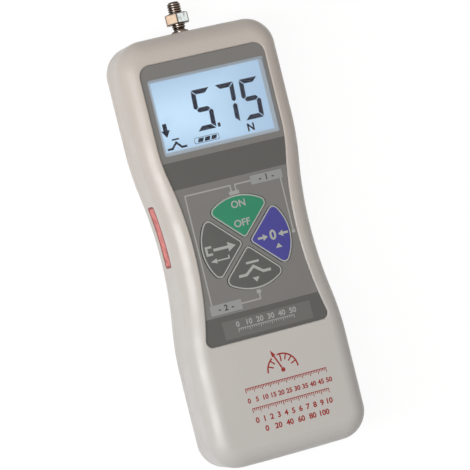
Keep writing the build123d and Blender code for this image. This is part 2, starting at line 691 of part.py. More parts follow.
# Hexagon nut with its corners turned off at both faces
with BuildPart() as lock_nut:
    with BuildSketch(Plane.XZ.offset(-NUT_LOW_Y)):
        with Locations((0, SHAFT_Z)):
            RegularPolygon(NUT_FLATS / 2, 6, major_radius=False, rotation=NUT_TURN)
    extrude(amount=-NUT_THICK)
    with BuildSketch(Plane.XY.offset(SHAFT_Z)):
        with BuildLine():
            Polyline(
                (0, NUT_LOW_Y),
                (NUT_FLATS / 2, NUT_LOW_Y),
                (NUT_CORNER_R, NUT_LOW_Y + NUT_BEVEL),
                (NUT_CORNER_R, NUT_TOP_Y - NUT_BEVEL),
                (NUT_FLATS / 2, NUT_TOP_Y),
                (0, NUT_TOP_Y),
                close=True,
            )
        make_face()
    revolve(axis=Axis((0, 0, SHAFT_Z), (0, 1, 0)), mode=Mode.INTERSECT)
    with BuildSketch(Plane.XZ.offset(-NUT_LOW_Y)):
        with Locations((0, SHAFT_Z)):
            Circle(NUT_BORE_R)
    extrude(amount=-NUT_THICK, mode=Mode.SUBTRACT)

# ---------------------------------------------------------------- battery
with BuildPart() as battery_holder:
    with BuildSketch(Plane.XY.offset(WALL)):
        with Locations((0, TRAY_MID_Y)):
            Rectangle(2 * TRAY_HALF, TRAY_TOP_Y - TRAY_LOW_Y)
    extrude(amount=TRAY_TOP_Z - WALL)
    for y in (TRAY_LOW_Y + TRAY_END / 2, TRAY_TOP_Y - TRAY_END / 2):
        with BuildSketch(Plane.XY.offset(WALL)):
            with Locations((0, y)):
                Rectangle(2 * TRAY_HALF, TRAY_END)
        extrude(amount=TRAY_END_Z - WALL)
    with BuildSketch(Plane.XZ.offset(-TRAY_LOW_Y - TRAY_END)):
        with Locations((0, CELL_AXIS_Z)):
            with GridLocations(CELL_PITCH, 0, 4, 1):
                Circle(CELL_R + STACK_GAP)
    extrude(amount=-(TRAY_TOP_Y - TRAY_LOW_Y - 2 * TRAY_END), mode=Mode.SUBTRACT)

with BuildPart() as battery_cells:
    with BuildSketch(Plane.XZ.offset(CELL_LENGTH / 2 - TRAY_MID_Y)):
        with Locations((0, CELL_AXIS_Z)):
            with GridLocations(CELL_PITCH, 0, 4, 1):
                Circle(CELL_R)
    extrude(amount=-CELL_LENGTH)

with BuildPart() as battery_contacts:
    for y in (TRAY_LOW_Y + TRAY_END, TRAY_TOP_Y - TRAY_END - CONTACT_THICK):
        with BuildSketch(Plane.XZ.offset(-y)):
            with Locations((0, CELL_AXIS_Z)):
                with GridLocations(CELL_PITCH, 0, 4, 1):
                    Rectangle(CONTACT_SIDE, CONTACT_SIDE)
        extrude(amount=-CONTACT_THICK)

# ---------------------------------------------------------------- sockets
with BuildPart() as data_socket:
    with BuildSketch(Plane.YZ.offset(DATA_FACE_X)):
        with Locations((DATA_Y, DATA_Z)):
            Rectangle(DATA_BODY_Y, DATA_BODY_Z)
    extrude(amount=-DATA_DEPTH)
    with BuildSketch(Plane.YZ.offset(DATA_FACE_X)):
        with Locations((DATA_Y, DATA_Z)):
            Rectangle(DATA_WELL_Y, DATA_WELL_Z)
    extrude(amount=-DATA_WELL_DEPTH, mode=Mode.SUBTRACT)

with BuildPart() as data_pins:
    with BuildSketch(Plane.YZ.offset(DATA_FACE_X - DATA_WELL_DEPTH)):
        with Locations((DATA_Y, DATA_Z)):
            with GridLocations(PIN_PITCH_Y, PIN_PITCH_Z, 5, 2):
                Rectangle(PIN_SIDE, PIN_SIDE)
    extrude(amount=PIN_LENGTH)

with BuildPart() as dc_jack:
    with BuildSketch(Plane.YZ.offset(JACK_FACE_X)):
        with Locations((JACK_Y, JACK_Z)):
            Rectangle(JACK_SIDE, JACK_SIDE)
    extrude(amount=-JACK_DEPTH)
    with BuildSketch(Plane.YZ.offset(JACK_FACE_X)):
        with Locations((JACK_Y, JACK_Z)):
            Circle(JACK_BORE_R)
    extrude(amount=-JACK_BORE_DEPTH, mode=Mode.SUBTRACT)

with BuildPart() as jack_pin:
    with BuildSketch(Plane.YZ.offset(JACK_FACE_X - JACK_BORE_DEPTH)):
        with Locations((JACK_Y, JACK_Z)):
            Circle(JACK_PIN_R)
    extrude(amount=JACK_PIN_LENGTH)

# ---------------------------------------------------------------- labels and files
pieces = {
    "front_shell": front_shell.part,
    "rear_cover": rear_cover.part,
    "side_strip": side_strip.part,
    "case_screws": case_screws.part,
    "mount_inserts": mount_inserts.part,
    "face_plate": face_plate.part,
    "lcd_window": lcd_window.part,
    "lcd_panel": lcd_panel.part,
    "backlight": backlight.part,
    "lcd_frame": lcd_frame.part,
    "main_board": main_board.part,
    "board_screws": board_screws.part,
    "tact_switches": tact_switches.part,
    "board_chips": board_chips.part,
    "sensor_frame": sensor_frame.part,
    "load_cell": load_cell.part,
    "strain_gauges": strain_gauges.part,
    "load_cell_screws": load_cell_screws.part,
    "frame_screws": frame_screws.part,
    "sensor_shaft": sensor_shaft.part,
    "lock_nut": lock_nut.part,
    "battery_holder": battery_holder.part,
    "battery_cells": battery_cells.part,
    "battery_contacts": battery_contacts.part,
    "data_socket": data_socket.part,
    "data_pins": data_pins.part,
    "dc_jack": dc_jack.part,
    "jack_pin": jack_pin.part,
}
for key in KEY_TURNS:
    pieces[f"key_{key}"] = keys[key]
    pieces[f"plunger_{key}"] = plungers[key]

os.makedirs("parts", exist_ok=True)
for name, piece in pieces.items():
    piece.label = name
    export_step(piece, f"parts/{name}.step")
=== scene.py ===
"""Looks of a handheld digital force gauge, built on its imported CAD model.

Lengths are metres, in the frame of the CAD model: +X to the right of the display, +Y towards
the sensor stud and +Z the way the display faces.
"""

from math import atan2, cos, pi, radians, sin, sqrt, tan

import bmesh
import bpy
from mathutils import Matrix, Vector


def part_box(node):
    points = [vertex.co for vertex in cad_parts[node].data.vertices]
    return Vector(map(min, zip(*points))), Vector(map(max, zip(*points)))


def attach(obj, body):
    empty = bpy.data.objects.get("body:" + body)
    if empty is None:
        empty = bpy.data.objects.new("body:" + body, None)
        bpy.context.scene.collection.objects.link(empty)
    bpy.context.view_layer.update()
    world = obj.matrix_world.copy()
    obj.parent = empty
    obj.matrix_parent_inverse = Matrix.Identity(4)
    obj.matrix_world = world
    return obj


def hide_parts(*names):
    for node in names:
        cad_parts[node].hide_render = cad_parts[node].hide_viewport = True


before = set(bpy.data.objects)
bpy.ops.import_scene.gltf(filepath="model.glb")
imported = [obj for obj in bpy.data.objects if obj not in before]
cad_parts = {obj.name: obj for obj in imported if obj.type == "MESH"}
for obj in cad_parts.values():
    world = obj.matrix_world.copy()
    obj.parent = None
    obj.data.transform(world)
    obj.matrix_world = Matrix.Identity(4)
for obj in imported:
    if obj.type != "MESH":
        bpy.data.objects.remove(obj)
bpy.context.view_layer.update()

bl_info = {
    "name": "Digital force gauge",
    "version": (1, 0, 0),
    "blender": (4, 5, 0),
    "location": "3D View > Sidebar > Force gauge",
    "description": "Finishes, prints and machined details of a handheld digital force gauge",
    "category": "Object",
}

MM = 0.001
BODY = "housing"  # the body that all fixed pieces ride on
WHITE = (1.0, 1.0, 1.0)
CAPITAL_SHARE = 0.7  # of a font's size that its capitals are high

# Places and sizes that the CAD model gives
SHELL_TOP, PLATE_TOP, PANEL_TOP = (
    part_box(node)[1].z for node in ("front_shell", "face_plate", "lcd_panel"))
KEY_FOOT, KEY_TOP = (corner.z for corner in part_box("key_power"))
KEYS_Y = sum(corner.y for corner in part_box("key_send")) / 2
SHAFT_START, SHAFT_END = (corner.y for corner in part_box("sensor_shaft"))
NUT_START, NUT_END = (corner.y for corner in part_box("lock_nut"))
SHAFT_Z = sum(corner.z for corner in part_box("lock_nut")) / 2
STRIP_LOW, STRIP_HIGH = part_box("side_strip")
STRIP_MIDDLE = (STRIP_LOW + STRIP_HIGH) / 2


# ---------------------------------------------------------------- colours and node trees
def colour(red, green, blue):
    """A colour given in 0..255 display values, as Blender's linear values."""
    def linear(value):
        share = value / 255
        return share / 12.92 if share <= 0.04045 else ((share + 0.055) / 1.055) ** 2.4

    return (linear(red), linear(green), linear(blue))


def opaque(rgb):
    """A colour as a socket takes it, with full cover."""
    return (*rgb, 1.0)


def scaled(rgb, factor):
    """A colour made darker or lighter."""
    return tuple(value * factor for value in rgb)


class Tree:
    """A node tree, with short calls for the nodes that the finishes share."""

    def __init__(self, node_tree):
        self.nodes, self.links = node_tree.nodes, node_tree.links

    def feed(self, socket, value):
        """Links a socket to another one, or sets it to a number or colour."""
        if isinstance(value, bpy.types.NodeSocket):
            self.links.new(value, socket)
        else:
            socket.default_value = value

    def maths(self, operation, *values):
        """A maths node; each value is a socket or a number."""
        node = self.nodes.new("ShaderNodeMath")
        node.operation = operation
        for socket, value in zip(node.inputs, values):
            self.feed(socket, value)
        return node.outputs["Value"]

    def highest(self, value, *others):
        """The highest of two or more values."""
        for other in others:
            value = self.maths("MAXIMUM", value, other)
        return value

    def off_middle(self, value, low, high):
        """How far value is from the middle between low and high."""
        return self.maths("ABSOLUTE", self.maths("SUBTRACT", value, (low + high) / 2))

    def span(self, value, low, high, to_low=0.0, to_high=1.0):
        """value mapped smoothly from low..high to to_low..to_high, and clamped."""
        node = self.nodes.new("ShaderNodeMapRange")
        node.interpolation_type = "SMOOTHSTEP"
        for name, amount in zip(("Value", "From Min", "From Max", "To Min", "To Max"),
                                (value, low, high, to_low, to_high)):
            self.feed(node.inputs[name], amount)
        return node.outputs["Result"]

    def mix(self, factor, first, second):
        """Mixes two colours, each a socket or three linear values."""
        node = self.nodes.new("ShaderNodeMix")
        node.data_type = "RGBA"
        self.feed(node.inputs["Factor"], factor)
        sockets = [socket for socket in node.inputs if socket.type == "RGBA"]
        for socket, value in zip(sockets, (first, second)):
            self.feed(socket, value if isinstance(value, bpy.types.NodeSocket) else opaque(value))
        return next(socket for socket in node.outputs if socket.type == "RGBA")

    def seen(self):
        """1 on rays from the camera, from mirrors and through glass, and 0 on all others."""
        rays = self.nodes.new("ShaderNodeLightPath").outputs
        return self.highest(rays["Is Camera Ray"], rays["Is Glossy Ray"],
                            rays["Is Transmission Ray"])


class Finish(Tree):
    """A material's nodes; the surface point is read in the CAD model's frame."""

    def __init__(self, name, roughness=0.5, metallic=0.0):
        self.material = bpy.data.materials.new(name)
        self.material.use_nodes = True
        super().__init__(self.material.node_tree)
        self.shader = self.nodes["Principled BSDF"]
        self.place = self.nodes.new("ShaderNodeTexCoord").outputs["Object"]
        self.set(Roughness=roughness, Metallic=metallic)

    def set(self, **values):
        """Sets the shader's own sockets; underscores stand for spaces."""
        for name, value in values.items():
            self.shader.inputs[name.replace("_", " ")].default_value = value

    def axis(self, letter):
        """One coordinate of the surface point, in metres."""
        split = self.nodes.new("ShaderNodeSeparateXYZ")
        self.feed(split.inputs["Vector"], self.place)
        return split.outputs[letter]

    def off_axis(self, height):
        """Distance of the surface point from a line along Y at that height, in metres."""
        across, up = self.axis("X"), self.maths("SUBTRACT", self.axis("Z"), height)
        squares = [self.maths("MULTIPLY", side, side) for side in (across, up)]
        return self.maths("SQRT", self.maths("ADD", *squares))

    def noise(self, scale, detail=2.0, stretch=(1, 1, 1), turn=0.0):
        """A noise value from 0 to 1; scale counts features per metre, turn is about X."""
        mapping = self.nodes.new("ShaderNodeMapping")
        mapping.vector_type = "TEXTURE"
        mapping.inputs["Rotation"].default_value = (turn, 0, 0)
        mapping.inputs["Scale"].default_value = stretch
        self.feed(mapping.inputs["Vector"], self.place)
        texture = self.nodes.new("ShaderNodeTexNoise")
        texture.inputs["Scale"].default_value = scale
        texture.inputs["Detail"].default_value = detail
        self.feed(texture.inputs["Vector"], mapping.outputs["Vector"])
        return texture.outputs["Fac"]

    def paint(self, source):
        """Links a colour socket to the base colour."""
        self.feed(self.shader.inputs["Base Color"], source)

    def bump(self, height, distance, strength=0.5, rounding=0.0):
        """Raises the surface by distance metres where height is 1, and rounds its edges."""
        node = self.nodes.new("ShaderNodeBump")
        node.inputs["Strength"].default_value = strength
        node.inputs["Distance"].default_value = distance
        if rounding:
            edges = self.nodes.new("ShaderNodeBevel")
            edges.inputs["Radius"].default_value = rounding
            self.feed(node.inputs["Normal"], edges.outputs["Normal"])
        self.feed(node.inputs["Height"], height)
        self.feed(self.shader.inputs["Normal"], node.outputs["Normal"])

    def vary_roughness(self, noise, low, high):
        """Spreads the roughness from low to high over the usual values of a noise."""
        self.feed(self.shader.inputs["Roughness"], self.span(noise, 0.3, 0.7, low, high))


# ---------------------------------------------------------------- finishes
def moulded_plastic(name, rgb, roughness=0.5, grain=0.15 * MM, depth=0.02 * MM, spread=0.04,
                    gloss=0.35, foot_rgb=None, tone_run=0.0, rounding=0.0):
    """Moulded plastic with a fine spark-eroded grain and slight unevenness of tone.

    With foot_rgb, the tone goes from foot_rgb to rgb over tone_run metres along Y.
    """
    finish = Finish(name, roughness)
    finish.set(Specular_IOR_Level=gloss)
    shares = (1 - spread, 1 + spread)
    tones = [scaled(rgb, share) for share in shares]
    if foot_rgb is not None:
        headward = finish.span(finish.axis("Y"), -tone_run / 2, tone_run / 2)
        tones = [finish.mix(headward, scaled(foot_rgb, share), tone)
                 for share, tone in zip(shares, tones)]
    finish.paint(finish.mix(finish.noise(28, detail=3), *tones))
    finish.bump(finish.noise(1 / grain), depth, rounding=rounding)
    finish.vary_roughness(finish.noise(90), roughness - 0.06, roughness + 0.06)
    return finish.material


def printed_ink(name, rgb, roughness=0.45):
    """Screen-printed ink, slightly uneven in cover."""
    finish = Finish(name, roughness)
    finish.set(Specular_IOR_Level=0.2)
    finish.paint(finish.mix(finish.noise(2600), scaled(rgb, 0.92), scaled(rgb, 1.06)))
    return finish.material


def machined_metal(name, rgb, roughness=0.25):
    """Plated or machined metal with faint marks."""
    finish = Finish(name, roughness, metallic=1.0)
    marks = finish.noise(900, detail=3)
    finish.paint(finish.mix(marks, scaled(rgb, 0.82), scaled(rgb, 1.1)))
    finish.vary_roughness(marks, roughness * 0.75, roughness * 1.35)
    finish.bump(marks, 0.012 * MM, 0.35)
    return finish.material


def sheet_metal(name, rgb, roughness=0.38):
    """Rolled sheet with fine marks along X."""
    finish = Finish(name, roughness, metallic=1.0)
    marks = finish.noise(2200, detail=4, stretch=(16, 1, 1))
    finish.paint(finish.mix(marks, scaled(rgb, 0.9), scaled(rgb, 1.05)))
    finish.vary_roughness(marks, roughness - 0.08, roughness + 0.1)
    return finish.material


def circuit_board(name, rgb):
    """Solder mask over copper: lines of lighter green where tracks run."""
    finish = Finish(name, 0.32)
    tracks = finish.nodes.new("ShaderNodeTexBrick")
    tracks.inputs["Scale"].default_value = 180
    tracks.inputs["Mortar Size"].default_value = 0.06
    tracks.inputs["Color1"].default_value = opaque(rgb)
    tracks.inputs["Color2"].default_value = opaque(scaled(rgb, 0.85))
    tracks.inputs["Mortar"].default_value = opaque(scaled(rgb, 1.7))
    finish.feed(tracks.inputs["Vector"], finish.place)
    finish.paint(tracks.outputs["Color"])
    finish.bump(tracks.outputs["Fac"], 0.03 * MM, 0.4)
    return finish.material


def dress(node, material):
    """Gives a CAD node its finish, in place of its materials."""
    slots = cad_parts[node].data.materials
    slots.clear()
    slots.append(material)


# ---------------------------------------------------------------- outlines
def mm(*values):
    """Millimetres, in metres."""
    return tuple(value * MM for value in values)


def in_mm(*points):
    """Points given in millimetres, in metres."""
    return [mm(*point) for point in points]


def direction(turn):
    """The unit vector at an angle from +X towards +Y."""
    return Vector((cos(turn), sin(turn)))


def arc(centre, radius, start, end, count):
    """Points of an arc in a plane, by its angles in radians."""
    steps = [start + (end - start) * i / count for i in range(count + 1)]
    return [(centre[0] + radius * cos(a), centre[1] + radius * sin(a)) for a in steps]


def stroke(points, width):
    """The outline of a line of that width through points, with mitred corners."""
    half = width / 2
    sides = ([], [])
    for i, here in enumerate(points):
        here = Vector(here)
        runs = []
        if i > 0:
            runs.append((here - Vector(points[i - 1])).normalized())
        if i < len(points) - 1:
            runs.append((Vector(points[i + 1]) - here).normalized())
        ahead = sum(runs, Vector((0, 0))).normalized()
        across = Vector((-ahead.y, ahead.x))
        reach = half / max(0.2, across.dot(Vector((-runs[0].y, runs[0].x))))
        sides[0].append(tuple(here + across * reach))
        sides[1].append(tuple(here - across * reach))
    return sides[0] + sides[1][::-1]


def arrow(tail, tip, stem, head, head_length):
    """The outline of a straight arrow: widths of its stem and head, and the head's length."""
    tail, tip = Vector(tail), Vector(tip)
    ahead = (tip - tail).normalized()
    across = Vector((-ahead.y, ahead.x))
    neck = tip - ahead * head_length
    return [tuple(point) for point in (
        tail - across * stem / 2, neck - across * stem / 2, neck - across * head / 2, tip,
        neck + across * head / 2, neck + across * stem / 2, tail + across * stem / 2)]


def rounded_box(centre, size, radius, count=6):
    """The outline of a rectangle with rounded corners."""
    half_x, half_y = size[0] / 2 - radius, size[1] / 2 - radius
    outline = []
    for turn, (sx, sy) in enumerate(((1, 1), (-1, 1), (-1, -1), (1, -1))):
        corner = (centre[0] + sx * half_x, centre[1] + sy * half_y)
        outline += arc(corner, radius, turn * pi / 2, (turn + 1) * pi / 2, count)
    return outline


def box_between(left, right, foot, top, radius, count=6):
    """The outline of a rectangle with rounded corners, by the places of its sides."""
    return rounded_box(((left + right) / 2, (foot + top) / 2), (right - left, top - foot), radius,
                       count)


def ruled_scale(left, right, y, parts, major, tall, short, width):
    """Outlines of a ruled line with ticks that hang from it, from places and sizes in mm.

    It is divided into parts; each major-th tick is tall, and the others are short.
    """
    outlines = [stroke(in_mm((left, y), (right, y)), width * MM)]
    for i in range(parts + 1):
        x = left + width / 2 + (right - left - width) * i / parts
        foot = y - (short if i % major else tall)
        outlines.append(stroke(in_mm((x, y - width / 2), (x, foot)), width * MM))
    return outlines


def resampled(outline, count):
    """The outline as count points at even steps along it."""
    corners = [Vector(point) for point in outline]
    sides = [there - here for here, there in zip(corners, corners[1:] + corners[:1])]
    step = sum(side.length for side in sides) / count
    points, walked = [], 0.0
    for here, side in zip(corners, sides):
        while walked < side.length and len(points) < count:
            points.append(tuple(here + side * (walked / side.length)))
            walked += step
        walked -= side.length
    return points


# ---------------------------------------------------------------- meshes and pieces
def bridge(mesh, first, second):
    """Faces between two closed rings of vertices that have as many points."""
    for i in range(len(first)):
        j = (i + 1) % len(first)
        mesh.faces.new((first[i], first[j], second[j], second[i]))


def slabs(outlines, low, high):
    """A mesh of closed slabs on outlines, from height low to high."""
    mesh = bmesh.new()
    for outline in outlines:
        rings = [[mesh.verts.new((x, y, z)) for x, y in outline] for z in (low, high)]
        mesh.faces.new(rings[0][::-1])
        mesh.faces.new(rings[1])
        bridge(mesh, *rings)
    return mesh


def add_band(mesh, outer, inner, low, high):
    """A closed band between two outlines that have as many points."""
    loops = [[mesh.verts.new((x, y, z)) for x, y in outline]
             for outline, z in ((outer, low), (outer, high), (inner, high), (inner, low))]
    for first, second in zip(loops, loops[1:] + loops[:1]):
        bridge(mesh, first, second)


def film_on(surface, thickness):
    """Lower and upper height of a printed film that is sunk a hair into its surface."""
    return surface - 0.005 * MM, surface + thickness


def make_piece(name, mesh, material, body, sharp=32):
    """Turns a bmesh into a piece that rides on a body; edges over sharp degrees stay crisp."""
    bmesh.ops.recalc_face_normals(mesh, faces=mesh.faces[:])
    for face in mesh.faces:
        face.smooth = True
    for edge in mesh.edges:
        edge.smooth = edge.calc_face_angle(0.0) < radians(sharp)
    data = bpy.data.meshes.new(name)
    mesh.to_mesh(data)
    mesh.free()
    data.materials.append(material)
    piece = bpy.data.objects.new(name, data)
    bpy.context.scene.collection.objects.link(piece)
    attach(piece, body)
    return piece


def number_row(step, count, x, pitch, y, height):
    """Rows for make_lettering: the multiples of step from 0, their centres pitch apart."""
    return [(str(step * i), x + pitch * i, y, height) for i in range(count)]


def make_lettering(name, rows, low, high, material, body, slot, weight):
    """One mesh of plain characters, in strokes made bolder by weight, a share of their height.

    Each row is a text, its centre's x and y, and the height of its capitals, all in mm.
    """
    mesh = bmesh.new()
    for text, x, y, height in rows:
        curve = bpy.data.curves.new(name, "FONT")
        curve.body = text
        curve.align_x = "CENTER"
        curve.align_y = "CENTER"
        curve.size = height * MM / CAPITAL_SHARE
        curve.offset = height * MM * weight
        curve.extrude = (high - low) / 2
        curve.resolution_u = 6
        holder = bpy.data.objects.new(name, curve)
        bpy.context.scene.collection.objects.link(holder)
        bpy.context.view_layer.update()
        letters = bpy.data.meshes.new_from_object(holder.evaluated_get(
            bpy.context.evaluated_depsgraph_get()))
        letters.transform(Matrix.Translation((x * MM, y * MM, (low + high) / 2)))
        mesh.from_mesh(letters)
        bpy.data.objects.remove(holder)
        bpy.data.curves.remove(curve)
        bpy.data.meshes.remove(letters)
    bmesh.ops.remove_doubles(mesh, verts=mesh.verts[:], dist=0.002 * MM)
    return make_piece(name, mesh, material, body)


# ---------------------------------------------------------------- settings
def length(name, description, default):
    """A length or coordinate, in metres."""
    return bpy.props.FloatProperty(
        name=name, description=description, default=default, unit="LENGTH", precision=5)


def angle(name, description, degrees):
    """An angle, whose default is given in degrees."""
    return bpy.props.FloatProperty(
        name=name, description=description, default=radians(degrees), subtype="ANGLE")


def tint(name, description, rgb):
    """A colour, whose default is given in 0..255 display values."""
    return bpy.props.FloatVectorProperty(
        name=name, description=description, default=colour(*rgb), subtype="COLOR",
        min=0, max=1)


def place(name, description, default):
    """A point in space, in metres."""
    return bpy.props.FloatVectorProperty(
        name=name, description=description, default=default, subtype="TRANSLATION",
        unit="LENGTH", precision=5)


def level(name, description, default):
    """A strength or share, which is never below 0."""
    return bpy.props.FloatProperty(name=name, description=description, default=default, min=0)


class GaugeStageSettings(bpy.types.PropertyGroup):
    """Floor, lamps and camera."""

    floor_size: length("Floor size", "Side of the floor", 6.0)
    floor_gap: length("Floor gap", "Air between the gauge's back and the floor", 0.05 * MM)
    floor_tint: tint("Floor colour", "Pale floor", (236, 236, 236))
    floor_glow: level("Floor glow", "Strength of the white that the camera sees", 1.055)
    floor_glow_share: level("Floor glow share", "Share of that white over the shadow", 0.88)
    main_place: place("Main lamp", "Where the main soft lamp stands", (-0.62, -0.05, 0.66))
    main_width: length("Main lamp width", "Width of the main soft lamp", 0.24)
    main_height: length("Main lamp height", "Height of the main soft lamp", 0.8)
    fill_place: place("Fill lamp", "Where the second soft lamp stands", (0.14, 0.15, 1.1))
    fill_size: length("Fill lamp size", "Side of the second soft lamp", 0.9)
    fill_share: level("Fill lamp share", "Power of the second lamp against the first", 0.3)
    fill_tint: tint("Fill lamp colour", "Warm tone of the second lamp", (255, 238, 222))
    lamp_power: bpy.props.FloatProperty(
        name="Lamp power", description="Power of the main soft lamp", default=6.2, min=0,
        subtype="POWER")
    sky: level("Surrounding light", "Strength of the light from all round", 0.25)
    camera_yaw: angle("Camera yaw", "Camera's turn towards the left side of the gauge", 17.81)
    camera_pitch: angle("Camera pitch", "Camera's turn towards the stud end", 0.5)
    camera_roll: angle("Camera roll", "Lean of the gauge in the picture", 13.85)
    camera_distance: length("Camera distance", "From the camera to the gauge", 1.0487)
    camera_lens: bpy.props.FloatProperty(
        name="Lens", description="Focal length on a 36 mm sensor", default=182.8, min=1,
        subtype="DISTANCE_CAMERA")
    aim: place("Aim", "Point that the camera looks at", (0.8 * MM, 3.51 * MM, 16.5 * MM))


class GaugeHousingSettings(bpy.types.PropertyGroup):
    """Moulded shells and the strip on their left side."""

    plastic: tint("Plastic, head", "Warm light grey of the shells", (192, 184, 176))
    plastic_foot: tint("Plastic, foot", "Light grey of the shells' foot", (190, 187, 183))
    tone_run: length("Tone run", "Length over which one grey turns into the other", 150 * MM)
    grain: length("Grain", "Size of the moulded grain", 0.4 * MM)
    grain_depth: length("Grain depth", "Depth of the moulded grain", 0.03 * MM)
    edge_rounding: length("Edge rounding", "Softness of the shells' edges", 0.6 * MM)
    strip_red: tint("Strip", "Pale red of the strip", (226, 128, 122))
    strip_dark: tint("Strip, dark streaks", "Darker red of the strip", (176, 78, 74))
    strip_edge: tint("Strip edge", "Dark red of the strip's border", (132, 54, 50))
    strip_edge_width: length("Strip edge width", "How far the dark edge fades in", 1.12 * MM)
    border_length: length("Border length", "Length of the strip's border", 27.8 * MM)
    border_height: length("Border height", "Height of the strip's border", 8.7 * MM)
    border_radius: length("Border radius", "Rounding of the border's corners", 1.5 * MM)
    border_z: length("Border Z", "Middle height of the strip's border", 17.1 * MM)
    border_lap: length("Border lap", "How far the border covers the strip", 0.25 * MM)
    waist_half: length("Waist", "Half width of the waist", 32.3 * MM)
    waist_radius: length("Waist radius", "Radius of the waist's hollow", 177 * MM)
    print_thickness: length("Print thickness", "Height of the printed film", 0.02 * MM)


class GaugeFootPrintSettings(bpy.types.PropertyGroup):
    """Plain dial and number scales on the foot."""

    ink: tint("Print", "Red of the printed marks", (150, 54, 49))
    thickness: length("Print thickness", "Height of the printed film", 0.02 * MM)
    dial_x: length("Dial X", "X of the dial's middle", 2.2 * MM)
    dial_y: length("Dial Y", "Y of the dial's middle", -57.9 * MM)
    dial_radius: length("Dial radius", "Radius of the dial's arc", 7.0 * MM)
    dial_line: length("Dial line", "Width of the dial's arc and needle", 0.7 * MM)
    tick: length("Tick", "Length of a tick of the dial", 2.6 * MM)
    tick_middle: length("Middle tick", "Length of the dial's middle tick", 3.3 * MM)
    tick_line: length("Tick line", "Width of a tick", 0.6 * MM)
    hub_radius: length("Hub radius", "Radius of the needle's hub", 1.0 * MM)
    needle: length("Needle", "Reach of the needle's tip", 10.2 * MM)
    needle_turn: angle("Needle turn", "Angle of the needle from +X", 112.5)
    needle_gap: angle("Needle gap", "Gap in the arc, to each side of the needle", 11.5)


class GaugePlateSettings(bpy.types.PropertyGroup):
    """Face plate and what is printed on it."""

    grey: tint("Grey", "Main colour of the plate", (124, 123, 121))
    dark: tint("Dark bands", "Colour of the two dark bands", (93, 93, 91))
    patch: tint("Patch", "Colour of the patch in the lower band", (108, 108, 106))
    ink: tint("Lines", "Light grey of the printed lines", (166, 167, 165))
    tag: tint("Tags", "Grey of the two tags", (152, 154, 153))
    band_top: length("Upper band top", "Upper edge of the upper dark band", 40.4 * MM)
    band_foot: length("Upper band foot", "Lower edge of the upper dark band", 28.3 * MM)
    lower_band_top: length("Lower band top", "Upper edge of the lower dark band", -29.1 * MM)
    patch_left: length("Patch left", "Left side of the patch", -19.6 * MM)
    patch_right: length("Patch right", "Right side of the patch", 21.6 * MM)
    patch_top: length("Patch top", "Upper edge of the patch", -31.7 * MM)
    patch_foot: length("Patch foot", "Lower edge of the patch", -39.6 * MM)
    line_width: length("Line width", "Width of the printed lines", 0.6 * MM)
    corner: length("Corner", "Rounding of the tags and pads", 0.3 * MM)
    print_thickness: length("Print thickness", "Height of the printed film", 0.03 * MM)
    number_thickness: length("Number thickness", "Height of the tags' numbers", 0.02 * MM)


class GaugeDisplaySettings(bpy.types.PropertyGroup):
    """Liquid crystal display."""

    glow: level("Glow", "Strength of the backlight", 0.945)
    glow_middle: tint("Glow, middle", "Backlight colour in the middle", (197, 229, 254))
    glow_edge: tint("Glow, edges", "Backlight colour towards the edges", (170, 199, 227))
    rim: tint("Rim", "Colour of the unlit border round the lit area", (156, 167, 178))
    digits: tint("Digits", "Dark of the switched-on segments", (30, 36, 54))
    lit_left: length("Lit left", "Left side of the lit area", -24.55 * MM)
    lit_right: length("Lit right", "Right side of the lit area", 26.1 * MM)
    lit_top: length("Lit top", "Upper edge of the lit area", 75.7 * MM)
    lit_foot: length("Lit foot", "Lower edge of the lit area", 44.85 * MM)
    bright_x: length("Bright point X", "Where the backlight is brightest", -17 * MM)
    bright_y: length("Bright point Y", "Where the backlight is brightest", 59 * MM)
    window_left: length("Window left", "Left side of the window in the plate", -26.1 * MM)
    window_right: length("Window right", "Right side of the window in the plate", 27.5 * MM)
    window_top: length("Window top", "Upper edge of the printed window", 75.95 * MM)
    window_foot: length("Window foot", "Lower edge of the printed window", 43.45 * MM)
    digit_height: length("Digit height", "Height of the large digits", 18.0 * MM)
    digit_width: length("Digit width", "Width of a large digit", 8.65 * MM)
    digit_pitch: length("Digit pitch", "Distance between the large digits", 11.25 * MM)
    digit_left: length("Digit left", "Left side of the first large digit", -8.35 * MM)
    digit_foot: length("Digit foot", "Y of the feet of the large digits", 50.85 * MM)
    segment: length("Segment width", "Width of a segment", 2.05 * MM)
    segment_gap: length("Segment gap", "Half of the gap between segments", 0.17 * MM)
    slant: angle("Slant", "Lean of the digits", 3.0)
    reading: bpy.props.StringProperty(
        name="Reading", description="Digits and points of the large number", default="5.75")
    film: length("Film", "Height of the segments and of the window's border", 0.02 * MM)


class GaugeKeySettings(bpy.types.PropertyGroup):
    """Four soft keys."""

    green: tint("Power key", "Green key", (50, 136, 103))
    blue: tint("Zero key", "Blue key", (73, 71, 148))
    dark: tint("Send and peak keys", "Dark grey keys", (92, 93, 91))
    ink: tint("Key marks", "Light grey of the marks and outlines", (172, 175, 171))
    dome: length("Dome", "Rise of the key's middle over its edge", 0.22 * MM)
    edge: length("Edge", "Rounding of the key's edge", 0.22 * MM)
    outline: length("Outline", "Width of the printed outline", 0.6 * MM)
    disc_radius: length("Disc radius", "Radius of the disc that the keys are cut from", 20.7 * MM)
    cross_gap: length("Cross gap", "Width of the gap between keys", 2.2 * MM)
    corner_radius: length("Corner radius", "Rounding of the outer corners", 2.6 * MM)
    tip_radius: length("Tip radius", "Rounding of the inner tip", 1.8 * MM)
    mark_thickness: length("Mark height", "Rise of the marks over the dome", 0.02 * MM)
    outline_thickness: length("Outline height", "Rise of the outline over the edge", 0.04 * MM)


